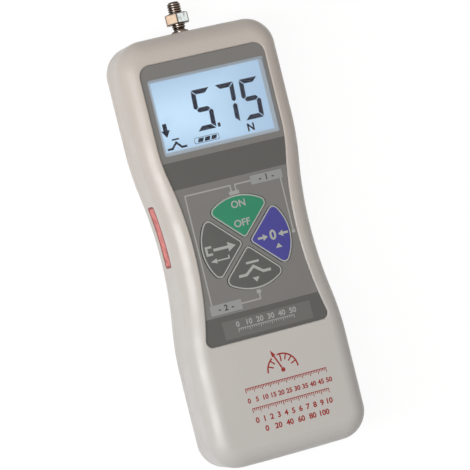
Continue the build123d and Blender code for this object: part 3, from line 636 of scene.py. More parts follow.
class GaugeSensorSettings(bpy.types.PropertyGroup):
    """Threaded stud and its nut."""

    steel: tint("Stud", "Dark turned steel of the stud", (124, 110, 100))
    # A painted highlight: the bright line painted along the stud, where the main lamp's
    # reflection falls.
    painted_highlight: tint("Stud, bright", "Bright line along the stud", (246, 238, 230))
    painted_highlight_x: length("Bright line X", "Middle of the stud's bright line", -1.4 * MM)
    nut_steel: tint("Nut", "Bright plating of the nut", (224, 230, 228))
    # A painted reflection: the warm tone painted on the nut's left faces.
    nut_warm_reflection: tint("Nut, warm", "Warm tone of the nut's plating", (222, 194, 168))
    # A painted dark reflection: the dark tone painted in the nut's bevels and along its corners.
    nut_dark_reflection: tint("Nut, bevels", "Dark tone in the nut's bevels", (84, 74, 68))
    pitch: length("Thread pitch", "Distance between threads", 1.0 * MM)
    crest_radius: length("Thread radius", "Outer radius of the thread", 3.0 * MM)
    root_radius: length("Thread root", "Radius at the bottom of the thread", 2.42 * MM)
    shank_radius: length("Shank radius", "Radius of the shaft inside the housing", 3.0 * MM)
    flange_radius: length("Flange radius", "Radius of the flange in the housing", 3.8 * MM)
    flange_depth: length("Flange depth", "Thickness of the flange", 1.6 * MM)
    flange_end: length("Flange end", "Y where the flange ends", 96.6 * MM)
    neck_radius: length("Neck radius", "Radius of the plain neck", 2.6 * MM)
    chamfer: length("Stud chamfer", "Chamfer of the flange and the neck", 0.25 * MM)
    thread_start: length("Thread start", "Y where the thread starts", 97.2 * MM)
    tip_cone: length("Tip cone", "Length of the cone at the stud's tip", 0.5 * MM)
    nut_flats: length("Nut width", "Width of the nut across its flats", 10.0 * MM)
    nut_turn: angle("Nut turn", "Place of one corner, from +X towards +Z", 105)
    nut_bore: length("Nut bore", "Radius of the nut's bore", 2.65 * MM)
    nut_chamfer: length("Nut chamfer", "Chamfer of the nut's bore", 0.35 * MM)
    nut_bevel: angle("Nut bevel", "Bevel of the nut's corners", 30)


class ForceGaugeSettings(bpy.types.PropertyGroup):
    """All settings of the gauge's looks."""

    stage: bpy.props.PointerProperty(type=GaugeStageSettings)
    housing: bpy.props.PointerProperty(type=GaugeHousingSettings)
    foot_print: bpy.props.PointerProperty(type=GaugeFootPrintSettings)
    plate: bpy.props.PointerProperty(type=GaugePlateSettings)
    display: bpy.props.PointerProperty(type=GaugeDisplaySettings)
    keys: bpy.props.PointerProperty(type=GaugeKeySettings)
    sensor: bpy.props.PointerProperty(type=GaugeSensorSettings)


def settings(context, group):
    """One group of the scene's settings."""
    return getattr(context.scene.force_gauge, group)


# ---------------------------------------------------------------- stage
def pale_floor(values):
    """A pale floor that the camera sees as near white, with the object's soft shadow kept."""
    finish = Finish("pale_floor", 0.9)
    finish.set(Base_Color=opaque(values.floor_tint), Specular_IOR_Level=0.0)
    glow = finish.nodes.new("ShaderNodeEmission")
    glow.inputs["Color"].default_value = opaque(WHITE)
    glow.inputs["Strength"].default_value = values.floor_glow
    blend = finish.nodes.new("ShaderNodeMixShader")
    share = finish.maths("MULTIPLY", finish.seen(), values.floor_glow_share)
    finish.feed(blend.inputs["Fac"], share)
    finish.feed(blend.inputs[1], finish.shader.outputs["BSDF"])
    finish.feed(blend.inputs[2], glow.outputs["Emission"])
    finish.feed(finish.nodes["Material Output"].inputs["Surface"], blend.outputs["Shader"])
    return finish.material


def white_sky(strength):
    """Even light of that strength from all round, which the camera and mirrors see as white."""
    world = bpy.data.worlds.new("soft_sky")
    bpy.context.scene.world = world
    world.use_nodes = True
    tree = Tree(world.node_tree)
    background = tree.nodes["Background"].inputs
    background["Color"].default_value = opaque(WHITE)
    tree.feed(background["Strength"], tree.span(tree.seen(), 0, 1, strength, 1))


def add_lamp(name, location, aim, size, power, tone):
    """A rectangular soft lamp, turned to aim; size is its width and height."""
    data = bpy.data.lights.new(name, "AREA")
    data.shape = "RECTANGLE"
    data.size, data.size_y = size
    data.energy = power
    data.color = tone
    lamp = bpy.data.objects.new(name, data)
    lamp.location = location
    lamp.rotation_mode = "QUATERNION"
    lamp.rotation_quaternion = (aim - location).to_track_quat("-Z", "Y")
    bpy.context.scene.collection.objects.link(lamp)


def add_camera(values):
    """The camera, turned from the gauge's front by yaw, pitch and roll."""
    yaw, pitch, roll = values.camera_yaw, values.camera_pitch, values.camera_roll
    back = Vector((-sin(yaw) * cos(pitch), sin(pitch), cos(yaw) * cos(pitch)))
    right = Vector((0, 1, 0)).cross(back).normalized()
    leaning_up = back.cross(right) * cos(roll) + right * sin(roll)
    turn = Matrix((leaning_up.cross(back), leaning_up, back)).transposed()
    data = bpy.data.cameras.new("camera")
    data.lens = values.camera_lens
    data.sensor_width = 36
    camera = bpy.data.objects.new("camera", data)
    eye = values.aim + back * values.camera_distance
    camera.matrix_world = Matrix.Translation(eye) @ turn.to_4x4()
    bpy.context.scene.collection.objects.link(camera)
    bpy.context.scene.camera = camera


class GAUGE_OT_stage(bpy.types.Operator):
    """Adds the floor, the soft lamps and the camera"""

    bl_idname = "force_gauge.stage"
    bl_label = "Stage"

    def execute(self, context):
        values = settings(context, "stage")
        bpy.ops.mesh.primitive_plane_add(size=values.floor_size,
                                         location=(0, 0, -values.floor_gap))
        floor = context.active_object
        floor.name = "floor"
        floor.data.materials.append(pale_floor(values))
        white_sky(values.sky)
        middle = Vector((0, 0, values.aim.z))
        add_lamp("main_lamp", values.main_place, middle,
                 (values.main_width, values.main_height), values.lamp_power, WHITE)
        add_lamp("fill_lamp", values.fill_place, middle, (values.fill_size, values.fill_size),
                 values.lamp_power * values.fill_share, values.fill_tint)
        add_camera(values)
        context.scene.view_settings.view_transform = "Standard"
        return {"FINISHED"}


# ---------------------------------------------------------------- housing
def strip_finish(values):
    """Pale red strip with darker slanting streaks and a dark edge."""
    finish = Finish("strip_red", 0.42)
    finish.set(Specular_IOR_Level=0.3)
    edges = []
    for axis, low, high in (("Y", STRIP_LOW.y, STRIP_HIGH.y), ("Z", STRIP_LOW.z, STRIP_HIGH.z)):
        reach = (high - low) / 2
        off = finish.off_middle(finish.axis(axis), low, high)
        edges.append(finish.span(off, reach - values.strip_edge_width, reach))
    streaks = finish.span(finish.noise(760, detail=3, stretch=(1, 0.5, 3), turn=radians(38)),
                          0.36, 0.66)
    field = finish.mix(streaks, values.strip_red, values.strip_dark)
    finish.paint(finish.mix(finish.highest(*edges), field, values.strip_edge))
    return finish.material


def wall_x(values, y):
    """X of the hollow left wall of the shells at y."""
    radius = values.waist_radius
    return -(values.waist_half + radius - sqrt(radius ** 2 - y ** 2))


def strip_border_mesh(values):
    """A printed frame round the strip, bent to the hollow of the left wall."""
    count, sunk = 96, 0.04 * MM  # points on each outline, and how deep the frame starts
    lap = values.border_lap
    outer = rounded_box((STRIP_MIDDLE.y, values.border_z),
                        (values.border_length, values.border_height), values.border_radius, 5)
    inner = box_between(STRIP_LOW.y + lap, STRIP_HIGH.y - lap, STRIP_LOW.z + lap,
                        STRIP_HIGH.z - lap, 1.0 * MM, 5)
    mesh = bmesh.new()
    add_band(mesh, resampled(outer, count), resampled(inner, count), -sunk,
             values.print_thickness)
    for vert in mesh.verts:
        along, up, out = vert.co
        vert.co = (wall_x(values, along) - out, along, up)
    return mesh


class GAUGE_OT_housing(bpy.types.Operator):
    """Finishes the shells, their screws and inserts, and the red side strip"""

    bl_idname = "force_gauge.housing"
    bl_label = "Housing"

    def execute(self, context):
        values = settings(context, "housing")
        # The shells' grey turns from the foot's grey to a warmer grey at the head, over the tone
        # run along Y.
        plastic = moulded_plastic(
            "shell_plastic", values.plastic, 0.35, values.grain, values.grain_depth, gloss=0.52,
            foot_rgb=values.plastic_foot, tone_run=values.tone_run,
            rounding=values.edge_rounding)
        for node in ("front_shell", "rear_cover"):
            dress(node, plastic)
        dress("case_screws", machined_metal("screw_steel", colour(190, 188, 184)))
        dress("mount_inserts", machined_metal("insert_brass", colour(196, 164, 104), 0.3))
        dress("side_strip", strip_finish(values))
        make_piece("strip_border", strip_border_mesh(values),
                   printed_ink("border_ink", values.strip_edge), BODY)
        return {"FINISHED"}


# Places and sizes of the foot print, in mm
NEEDLE_HEAD = (1.9, 3.0)  # its width and length
FOOT_SCALES = (  # left end, right end, y, parts, parts to a tall tick, tall, short, line width
    (-16.8, 21.4, -61.9, 50, 5, 1.9, 1.1, 0.34), (-15.8, 20.4, -70.9, 40, 4, 1.9, 1.1, 0.34))
FOOT_NUMBERS = (  # step, count, x of the first, pitch, y, height
    (5, 11, -16.2, 3.76, -67.4, 2.0), (1, 11, -14.6, 3.38, -76.3, 2.3),
    (20, 6, -11.2, 5.36, -80.7, 2.3))


def dial_outlines(values):
    """A half dial with a gap in its arc for the needle, ticks, the needle and its hub."""
    centre = Vector((values.dial_x, values.dial_y))
    radius, line = values.dial_radius, values.dial_line
    needle, gap = values.needle_turn, values.needle_gap
    outlines = [stroke(arc(centre, radius, start, end, 14), line)
                for start, end in ((pi, needle + gap), (needle - gap, 0))]
    for eighth in range(1, 8):
        turn = eighth * pi / 8
        if abs(turn - needle) > gap:
            tick = values.tick_middle if eighth == 4 else values.tick
            ends = [centre + direction(turn) * (radius - back) for back in (tick, line / 2)]
            outlines.append(stroke(ends, values.tick_line))
    way = direction(needle)
    outlines.append(arrow(centre + way * (values.hub_radius + 0.1 * MM),
                          centre + way * values.needle, line, *mm(*NEEDLE_HEAD)))
    outlines.append(arc(centre, values.hub_radius, 0, 2 * pi, 16)[:-1])
    return outlines


class GAUGE_OT_foot_print(bpy.types.Operator):
    """Prints a plain dial and number scales in red on the foot of the front shell"""

    bl_idname = "force_gauge.foot_print"
    bl_label = "Foot print"

    def execute(self, context):
        values = settings(context, "foot_print")
        film = film_on(SHELL_TOP, values.thickness)
        ink = printed_ink("red_ink", values.ink)
        outlines = dial_outlines(values)
        for scale in FOOT_SCALES:
            outlines += ruled_scale(*scale)
        make_piece("foot_scale", slabs(outlines, *film), ink, BODY)
        rows = [row for numbers in FOOT_NUMBERS for row in number_row(*numbers)]
        make_lettering("foot_numbers", rows, *film, ink, BODY, "red_print", 0.05)
        return {"FINISHED"}


# ---------------------------------------------------------------- face plate
# Prints of the plate, in mm
LINES_LEFT, LINES_RIGHT, LINES_TOP, LINES_FOOT = -22.1, 22.2, 24.95, -25.7
KNOT_HALF, KNOT_TOP = 1.1, 22.4  # two lines end side by side above the power key
PEAK_X = 0.2  # of the line that ends below the peak key
LINES = (
    ((-KNOT_HALF, KNOT_TOP), (-KNOT_HALF, LINES_TOP), (LINES_LEFT, LINES_TOP),
     (LINES_LEFT, -23.6)),
    ((KNOT_HALF, KNOT_TOP), (KNOT_HALF, LINES_TOP), (8.6, LINES_TOP)),
    ((LINES_RIGHT, 23.1), (LINES_RIGHT, 0.0)),
    ((PEAK_X, -23.3), (PEAK_X, LINES_FOOT), (-8.7, LINES_FOOT)),
)
LINE_PADS = (  # x, y, width and height of the pads that the lines end in
    (0.0, 21.6, 4.6, 1.6), (PEAK_X, -22.5, 2.0, 1.6), (LINES_RIGHT, -0.75, 1.5, 1.5))
TAGS = {"1": (16.0, 25.0, 14.8, 3.9), "2": (-16.0, -25.9, 14.6, 4.4)}  # as the pads
TAG_HEIGHT, TAG_DASH = 2.5, 3.0  # height of a tag's characters, and how far off its dashes are
PLATE_SCALE = (-12.9, 13.3, -36.0, 25, 5, 1.5, 0.9, 0.28)  # as the foot's scales
PLATE_NUMBERS = (10, 6, -12.7, 5.16, -34.1, 2.3)


def plate_finish(values):
    """Grey film with two darker bands across it and a patch in the lower one."""
    finish = Finish("plate_film", 0.36)
    finish.set(Specular_IOR_Level=0.2)
    x, y = finish.axis("X"), finish.axis("Y")
    soft = 0.06 * MM

    def above(value, edge):
        return finish.span(value, edge - soft, edge + soft)

    def below(value, edge):
        return finish.span(value, edge + soft, edge - soft)

    upper = finish.maths("MULTIPLY", above(y, values.band_foot), below(y, values.band_top))
    dark = finish.highest(upper, below(y, values.lower_band_top))
    patch_x = finish.maths("MULTIPLY", above(x, values.patch_left), below(x, values.patch_right))
    patch_y = finish.maths("MULTIPLY", above(y, values.patch_foot), below(y, values.patch_top))
    field = finish.mix(finish.noise(60, detail=3), scaled(values.grey, 0.96),
                       scaled(values.grey, 1.05))
    banded = finish.mix(dark, field, values.dark)
    finish.paint(finish.mix(finish.maths("MULTIPLY", patch_x, patch_y), banded, values.patch))
    finish.bump(finish.noise(5200), 0.01 * MM, 0.3)
    return finish.material


class GAUGE_OT_face_plate(bpy.types.Operator):
    """Finishes the face plate and prints its lines, tags and scale"""

    bl_idname = "force_gauge.face_plate"
    bl_label = "Face plate"

    def execute(self, context):
        values = settings(context, "plate")
        dress("face_plate", plate_finish(values))
        film = film_on(PLATE_TOP, values.print_thickness)

        def pads(boxes):
            return [rounded_box(mm(x, y), mm(width, height), values.corner, 3)
                    for x, y, width, height in boxes]

        ink = printed_ink("plate_ink", values.ink)
        lines = [stroke(in_mm(*points), values.line_width) for points in LINES]
        outlines = lines + pads(LINE_PADS) + ruled_scale(*PLATE_SCALE)
        make_piece("plate_lines", slabs(outlines, *film), ink, BODY)
        make_piece("plate_tags", slabs(pads(TAGS.values()), *film),
                   printed_ink("tag_ink", values.tag), BODY)

        rows = [(text, x + shift, y, TAG_HEIGHT) for number, (x, y, *_) in TAGS.items()
                for text, shift in (("-", -TAG_DASH), (number, 0.0), ("-", TAG_DASH))]
        dark_ink = printed_ink("tag_number_ink", scaled(values.dark, 0.75))
        make_lettering("tag_numbers", rows, *film_on(film[1], values.number_thickness), dark_ink,
                       BODY, "face_grey", 0.045)
        make_lettering("plate_numbers", number_row(*PLATE_NUMBERS), *film, ink, BODY,
                       "face_grey", 0.035)
        return {"FINISHED"}


# ---------------------------------------------------------------- display
DIGIT_SEGMENTS = {
    "0": "abcdef", "1": "bc", "2": "abged", "3": "abgcd", "4": "fgbc", "5": "afgcd",
    "6": "afgcde", "7": "abc", "8": "abcdefg", "9": "afgbcd"}

# Signs of the display and the border of its window, in mm
POINT_SIZE, POINT_BACK, POINT_RISE = (1.25, 1.8), 1.2, 1.0  # places from the next digit's foot
DOWN_ARROW = ((-22.6, 57.4), (-22.6, 51.3))
DOWN_ARROW_WIDTHS = (1.9, 3.9, 3.1)  # of its stem and head, and the head's length
CREST = ((-23.7, 46.1), (-21.4, 46.1), (-19.2, 48.5), (-17.0, 46.1), (-14.6, 46.1))
CREST_BAR = ((-20.9, 49.9), (-17.5, 49.9))
CREST_LINE, CREST_BAR_LINE = 0.95, 0.7
BATTERY = (-11.0, 0.5, 45.8, 48.5)  # left, right, foot and top of its case
BATTERY_LINE, BATTERY_CORNER = 0.2, 0.6
BARS_X, BAR_FOOT, BAR_TOP, BAR_WIDTH, BAR_LEAN = (-9.6, -6.5, -3.4), 46.3, 48.0, 2.4, 0.7
UNIT_ROW = ("N", 15.6, 47.55, 3.2)
WINDOW_BORDER = (0.25, 0.05, 0.3, 0.8)  # its width at the left, right, foot and top


def segment_outlines(values):
    """The seven segments of a digit, as outlines about its lower left corner."""
    width, height = values.digit_width, values.digit_height
    bar, gap = values.segment, values.segment_gap
    mid, slim = height / 2, bar / 2
    upper = [(0, height - gap * 2.4), (bar, height - bar - gap * 1.4),
             (bar, mid + slim + gap), (slim, mid + gap * 2), (0, mid + slim + gap)]
    segments = {
        "a": [(gap, height), (width - gap, height), (width - bar - gap, height - bar),
              (bar + gap, height - bar)],
        "g": [(slim + gap, mid), (bar + gap, mid + slim), (width - bar - gap, mid + slim),
              (width - slim - gap, mid), (width - bar - gap, mid - slim),
              (bar + gap, mid - slim)],
        "f": upper,
        "e": [(x, height - y) for x, y in upper],
        "b": [(width - x, y) for x, y in upper],
        "c": [(width - x, height - y) for x, y in upper],
    }
    segments["d"] = [(x, height - y) for x, y in segments["a"]]
    return segments


def reading_outlines(values):
    """The points and switched-on segments of the reading, each digit leaning by the slant."""
    segments, lean = segment_outlines(values), tan(values.slant)
    left, foot = values.digit_left, values.digit_foot
    outlines = []
    for character in values.reading:
        if character == ".":
            centre = (left - POINT_BACK * MM, foot + POINT_RISE * MM)
            outlines.append(rounded_box(centre, mm(*POINT_SIZE), 0.15 * MM, 2))
            continue
        outlines += [[(left + x + lean * y, foot + y) for x, y in segments[name]]
                     for name in DIGIT_SEGMENTS[character]]
        left += values.digit_pitch
    return outlines


def sign_outlines():
    """A down arrow, a crest under a bar, and the bars of a battery."""
    bars = [in_mm((x, BAR_FOOT), (x + BAR_WIDTH, BAR_FOOT), (x + BAR_WIDTH + BAR_LEAN, BAR_TOP),
                  (x + BAR_LEAN, BAR_TOP)) for x in BARS_X]
    return [arrow(*in_mm(*DOWN_ARROW), *mm(*DOWN_ARROW_WIDTHS)),
            stroke(in_mm(*CREST), CREST_LINE * MM),
            stroke(in_mm(*CREST_BAR), CREST_BAR_LINE * MM), *bars]


def battery_case():
    """Outer and inner outline of the battery's case."""
    left, right, foot, top = mm(*BATTERY)
    line, corner = mm(BATTERY_LINE, BATTERY_CORNER)
    return (box_between(left, right, foot, top, corner, 3),
            box_between(left + line, right - line, foot + line, top - line, corner - line, 3))


def window_border_mesh(values):
    """A printed frame round the window."""
    left, right = values.window_left, values.window_right
    foot, top = values.window_foot, values.window_top
    to_left, to_right, to_foot, to_top = mm(*WINDOW_BORDER)
    outer = box_between(left - to_left, right + to_right, foot - to_foot, top + to_top, 1.2 * MM)
    inner = box_between(left, right, foot, top, 1.0 * MM)
    mesh = bmesh.new()
    add_band(mesh, outer, inner, *film_on(PLATE_TOP, values.film))
    return mesh


def backlight_finish(values):
    """Glow of the lit display: uneven, duller towards its edges and unlit at the border."""
    finish = Finish("display_glow", 0.6)
    soft = 0.4 * MM
    dull, unlit = [], []
    for axis, low, high, bright, near, far in (
            ("X", values.lit_left, values.lit_right, values.bright_x, 2 * MM, 42 * MM),
            ("Y", values.lit_foot, values.lit_top, values.bright_y, 0, 22 * MM)):
        value, reach = finish.axis(axis), (high - low) / 2
        dull.append(finish.span(finish.off_middle(value, bright, bright), near, far))
        unlit.append(finish.span(finish.off_middle(value, low, high), reach - soft, reach + soft))
    dull.append(finish.span(finish.noise(75), 0.4, 0.75, 0.0, 0.5))
    glow = finish.mix(finish.highest(*dull), values.glow_middle, values.glow_edge)
    glow = finish.mix(finish.highest(*unlit), glow, values.rim)
    finish.feed(finish.shader.inputs["Emission Color"], glow)
    finish.set(Base_Color=opaque((0.02, 0.02, 0.02)), Specular_IOR_Level=0.1,
               Emission_Strength=values.glow)
    return finish.material


class GAUGE_OT_display(bpy.types.Operator):
    """Finishes the display and draws its digits and signs"""

    bl_idname = "force_gauge.display"
    bl_label = "Display"

    def execute(self, context):
        values = settings(context, "display")
        dress("lcd_panel", backlight_finish(values))
        clear = Finish("window_clear", 0.03)
        clear.set(Base_Color=opaque(WHITE), Transmission_Weight=1.0, IOR=1.15)
        dress("lcd_window", clear.material)
        dress("backlight", moulded_plastic("backlight_white", colour(228, 230, 232), 0.6))
        dress("lcd_frame", moulded_plastic("frame_black", colour(34, 35, 37)))
        make_piece("window_border", window_border_mesh(values),
                   printed_ink("border_grey", values.rim), BODY)

        film = film_on(PANEL_TOP, values.film)
        mesh = slabs(reading_outlines(values) + sign_outlines(), *film)
        add_band(mesh, *battery_case(), *film)
        ink = printed_ink("segment_ink", values.digits)
        make_piece("display_segments", mesh, ink, BODY)
        make_lettering("display_unit", [UNIT_ROW], *film, ink, BODY, "display", 0.05)
        return {"FINISHED"}


# ---------------------------------------------------------------- keys
KEY_TURNS = {"power": 0, "send": 90, "peak": 180, "zero": 270}  # degrees from the top
DOME_SHARE = 0.62  # of the disc's radius, where a key's dome is highest

# Signs on the keys, in mm
BOLD, PLAIN, FINE = 1.2, 1.0, 0.6  # widths of their strokes
SEND_HEAD, RETURN_HEAD, ZERO_HEAD = (4.2, 3.6), (2.2, 2.9), (2.9, 2.3)  # of their arrows
SEND_Y, RETURN_Y, ZERO_Y = -0.5, -5.3, -0.4
POWER_ROWS = (("ON", 0.4, 16.4, 3.0), ("OFF", 0.1, 8.0, 3.0))
ZERO_ROWS = (("0", 12.35, ZERO_Y, 4.1),)


def petal_outline(values, inset):
    """The upper petal of the disc, drawn in by inset all round."""
    half_gap = values.cross_gap / 2
    corner_r, tip_r = values.corner_radius, values.tip_radius
    reach = half_gap + corner_r
    along = sqrt((values.disc_radius - corner_r) ** 2 - reach ** 2)
    corner = ((along - reach) / sqrt(2), (along + reach) / sqrt(2))
    side = atan2(corner[1], corner[0])
    tip = (0, sqrt(2) * (half_gap + tip_r))
    outline = arc(corner, corner_r - inset, -pi / 4, side, 8)
    outline += arc((0, 0), values.disc_radius - inset, side, pi - side, 28)[1:]
    outline += arc((-corner[0], corner[1]), corner_r - inset, pi - side, pi * 5 / 4, 8)[1:]
    outline += arc(tip, tip_r - inset, pi * 5 / 4, pi * 7 / 4, 8)
    return outline


def turned(points, degrees):
    """Points turned about the keys' centre and moved to it."""
    c, s = cos(radians(degrees)), sin(radians(degrees))
    return [(x * c - y * s, KEYS_Y + x * s + y * c) for x, y in points]


def key_height(values, share):
    """Height of the key's top where share is 0 in its middle and 1 at its edge."""
    return KEY_TOP + values.dome * (1 - share ** 2)


def key_mesh(values, turn):
    """A petal with a rounded edge and a softly domed top."""
    edge, edge_steps, dome_steps = values.edge, 4, 7
    rings = [(petal_outline(values, 0), KEY_FOOT)]
    for i in range(edge_steps + 1):
        a = i / edge_steps * pi / 2
        rings.append((petal_outline(values, edge * (1 - cos(a))),
                      KEY_TOP - edge + edge * sin(a)))
    middle = (0.0, values.disc_radius * DOME_SHARE)
    brim = petal_outline(values, edge)
    for i in range(1, dome_steps):
        share = 1 - i / dome_steps
        ring = [(x * share, middle[1] + (y - middle[1]) * share) for x, y in brim]
        rings.append((ring, key_height(values, share)))
    mesh = bmesh.new()
    loops = [[mesh.verts.new((x, y, z)) for x, y in turned(ring, turn)] for ring, z in rings]
    for first, second in zip(loops, loops[1:]):
        bridge(mesh, first, second)
    mesh.faces.new(loops[0][::-1])
    top = mesh.verts.new((*turned([middle], turn)[0], key_height(values, 0)))
    last = loops[-1]
    for here, there in zip(last, last[1:] + last[:1]):
        mesh.faces.new((here, there, top))
    return mesh


def key_marks(name):
    """Outlines of the plain signs on a key; the power key has lettering instead."""
    if name == "send":  # an arrow out of a bracket, and a return arrow
        bracket = in_mm((-16.2, 1.1), (-18.7, 1.1), (-18.7, -2.1), (-16.2, -2.1))
        hook = in_mm((-9.4, -3.9), (-9.4, RETURN_Y), (-14.9, RETURN_Y))
        return [arrow(*in_mm((-15.6, SEND_Y), (-5.2, SEND_Y)), *mm(BOLD, *SEND_HEAD)),
                stroke(bracket, PLAIN * MM), stroke(hook, FINE * MM),
                arrow(*in_mm((-14.95, RETURN_Y), (-18.0, RETURN_Y)), *mm(FINE, *RETURN_HEAD))]
    if name == "zero":  # arrows from both sides of the 0, and an up sign
        return [arrow(*in_mm((5.3, ZERO_Y), (10.0, ZERO_Y)), *mm(PLAIN, *ZERO_HEAD)),
                arrow(*in_mm((19.4, ZERO_Y), (14.7, ZERO_Y)), *mm(PLAIN, *ZERO_HEAD)),
                in_mm((12.4, -6.2), (15.4, -6.2), (13.9, -4.1))]
    if name == "peak":  # a crest under a bar, and a down sign
        crest = in_mm((-7.2, -14.3), (-3.6, -14.3), (0.3, -11.3), (4.2, -14.3), (7.8, -14.3))
        return [stroke(crest, BOLD * MM), stroke(in_mm((-2.7, -9.4), (3.3, -9.4)), PLAIN * MM),
                in_mm((-1.3, -16.1), (1.9, -16.1), (0.3, -18.3))]
    return []


class GAUGE_OT_keys(bpy.types.Operator):
    """Makes the four domed keys with their outlines and marks"""

    bl_idname = "force_gauge.keys"
    bl_label = "Keys"

    def execute(self, context):
        values = settings(context, "keys")
        ink = printed_ink("key_ink", values.ink)
        white = moulded_plastic("plunger_white", colour(226, 226, 222))
        shades = {"power": ("key_green", values.green), "zero": ("key_blue", values.blue),
                  "send": ("key_dark", values.dark), "peak": ("key_dark", values.dark)}
        film = KEY_TOP + values.dome * 0.4, KEY_TOP + values.dome + values.mark_thickness
        for name, turn in KEY_TURNS.items():
            (slot, shade), body = shades[name], f"{name}_key"
            rubber = moulded_plastic(f"{name}_key_rubber", shade, 0.4, 0.2 * MM, 0.008 * MM,
                                     0.03, gloss=0.2)
            pad = make_piece(f"{name}_key_pad", key_mesh(values, turn), rubber, body)
            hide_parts(f"key_{name}")
            dress(f"plunger_{name}", white)

            rim = bmesh.new()
            add_band(rim, turned(petal_outline(values, 0.02 * MM), turn),
                     turned(petal_outline(values, values.outline), turn), KEY_TOP - values.edge,
                     KEY_TOP + values.outline_thickness)
            make_piece(f"{name}_key_outline", rim, ink, body)
            marks = key_marks(name)
            if marks:
                make_piece(f"{name}_key_mark", slabs(marks, *film), ink, body)
        make_lettering("power_key_lettering", POWER_ROWS, *film, ink, "power_key", "key_green",
                       0.03)
        make_lettering("zero_key_number", ZERO_ROWS, *film, ink, "zero_key", "key_blue", 0.05)
        return {"FINISHED"}


# ---------------------------------------------------------------- stud and nut
FLANK = (0.42, 0.92)  # start and end of the thread's flank, as shares from crest to root


def thread_radius(values, y, turn_share):
    """Radius of the threaded stud at y, where turn_share is the share of a turn round it."""
    along = (y - values.thread_start) / values.pitch
    phase = (along - turn_share) % 1.0
    slope = min(phase, 1 - phase) * 2  # 0 at the crest, 1 at the root
    share = min(1.0, max(0.0, (FLANK[1] - slope) / (FLANK[1] - FLANK[0])))
    cone = values.tip_cone
    height = min(1.0, along, (SHAFT_END - 0.9 * cone - y) / (0.8 * cone))
    if NUT_START < y < NUT_END:
        height = 0.0  # the nut's bore hides the thread
    depth = values.crest_radius - values.root_radius
    return values.root_radius + depth * share * max(0.0, height)


def turned_mesh(rings, start, closed=False):
    """A body about the shaft's axis; each ring lists (y, radius) from start round to it."""
    mesh = bmesh.new()
    loops = []
    for ring in rings:
        turn = 2 * pi / len(ring)
        loops.append([mesh.verts.new((r * cos(start + i * turn), y,
                                      SHAFT_Z + r * sin(start + i * turn)))
                      for i, (y, r) in enumerate(ring)])
    for first, second in zip(loops, loops[1:] + (loops[:1] if closed else [])):
        bridge(mesh, first, second)
    if not closed:
        mesh.faces.new(loops[0][::-1])
        mesh.faces.new(loops[-1])
    return mesh


def stud_mesh(values):
    """Shaft with its flange, plain neck and a helical thread."""
    count, per_pitch = 64, 12  # points round the stud, and rings along one turn of thread
    flange_end, flange, chamfer = values.flange_end, values.flange_radius, values.chamfer
    flange_start = flange_end - values.flange_depth
    core = [(SHAFT_START, values.shank_radius), (flange_start, values.shank_radius),
            (flange_start, flange), (flange_end - chamfer, flange),
            (flange_end, flange - chamfer), (flange_end, values.neck_radius),
            (values.thread_start - chamfer, values.neck_radius),
            (values.thread_start, values.root_radius)]
    rings = [[ring] * count for ring in core]
    rise = values.pitch / per_pitch
    threaded = SHAFT_END - values.tip_cone - values.thread_start
    for k in range(1, int(threaded / rise) + 1):
        y = values.thread_start + k * rise
        rings.append([(y, thread_radius(values, y, i / count)) for i in range(count)])
    rings.append([(SHAFT_END, values.root_radius - 0.8 * values.tip_cone)] * count)
    return turned_mesh(rings, 0.0)


def nut_mesh(values):
    """Hexagon nut whose corners are bevelled by a cone at both ends."""
    inradius, bore, chamfer = values.nut_flats / 2, values.nut_bore, values.nut_chamfer
    per_side = 12
    count = 6 * per_side
    cone_start = inradius * 0.97

    def side_ring(end, inward):
        """The hexagon's edge at one end, drawn back inward by the cone."""
        ring = []
        for i in range(count):
            off = (i % per_side) / per_side * pi / 3 - pi / 6
            radius = inradius / cos(off)
            ring.append((end + inward * (radius - cone_start) * tan(values.nut_bevel), radius))
        return ring

    rings = [
        [(NUT_START + chamfer, bore)] * count, [(NUT_START, bore + chamfer)] * count,
        [(NUT_START, cone_start)] * count, side_ring(NUT_START, 1), side_ring(NUT_END, -1),
        [(NUT_END, cone_start)] * count, [(NUT_END, bore + chamfer)] * count,
        [(NUT_END - chamfer, bore)] * count,
    ]
    return turned_mesh(rings, values.nut_turn, closed=True)


def stud_finish(values):
    """Turned steel with a painted highlight along it, a painted dark reflection on its left side
    and painted shade at the bottom of the thread.
    """
    finish = Finish("stud_steel", 0.24, metallic=1.0)
    marks = finish.noise(900, detail=3, stretch=(6, 1, 6))
    x, steel = finish.axis("X"), values.steel
    # Painted dark reflection: the stud's left side, past x = -2 mm, is painted darker.
    tone = finish.mix(finish.span(x, -2.1 * MM, -1.9 * MM), scaled(steel, 0.4), steel)
    # Painted highlight: a bright line painted along the stud, where the main lamp's reflection
    # falls.
    off_highlight = finish.off_middle(x, values.painted_highlight_x, values.painted_highlight_x)
    tone = finish.mix(finish.span(off_highlight, 0.5 * MM, 0.25 * MM), tone, values.painted_highlight)
    tone = finish.mix(marks, tone, scaled(steel, 0.8))
    # Painted shade: the bottom of the thread is painted darker than its crests.
    depth = finish.span(finish.off_axis(SHAFT_Z), values.root_radius, values.neck_radius)
    finish.paint(finish.mix(depth, scaled(steel, 0.25), tone))
    finish.vary_roughness(marks, 0.18, 0.3)
    return finish.material


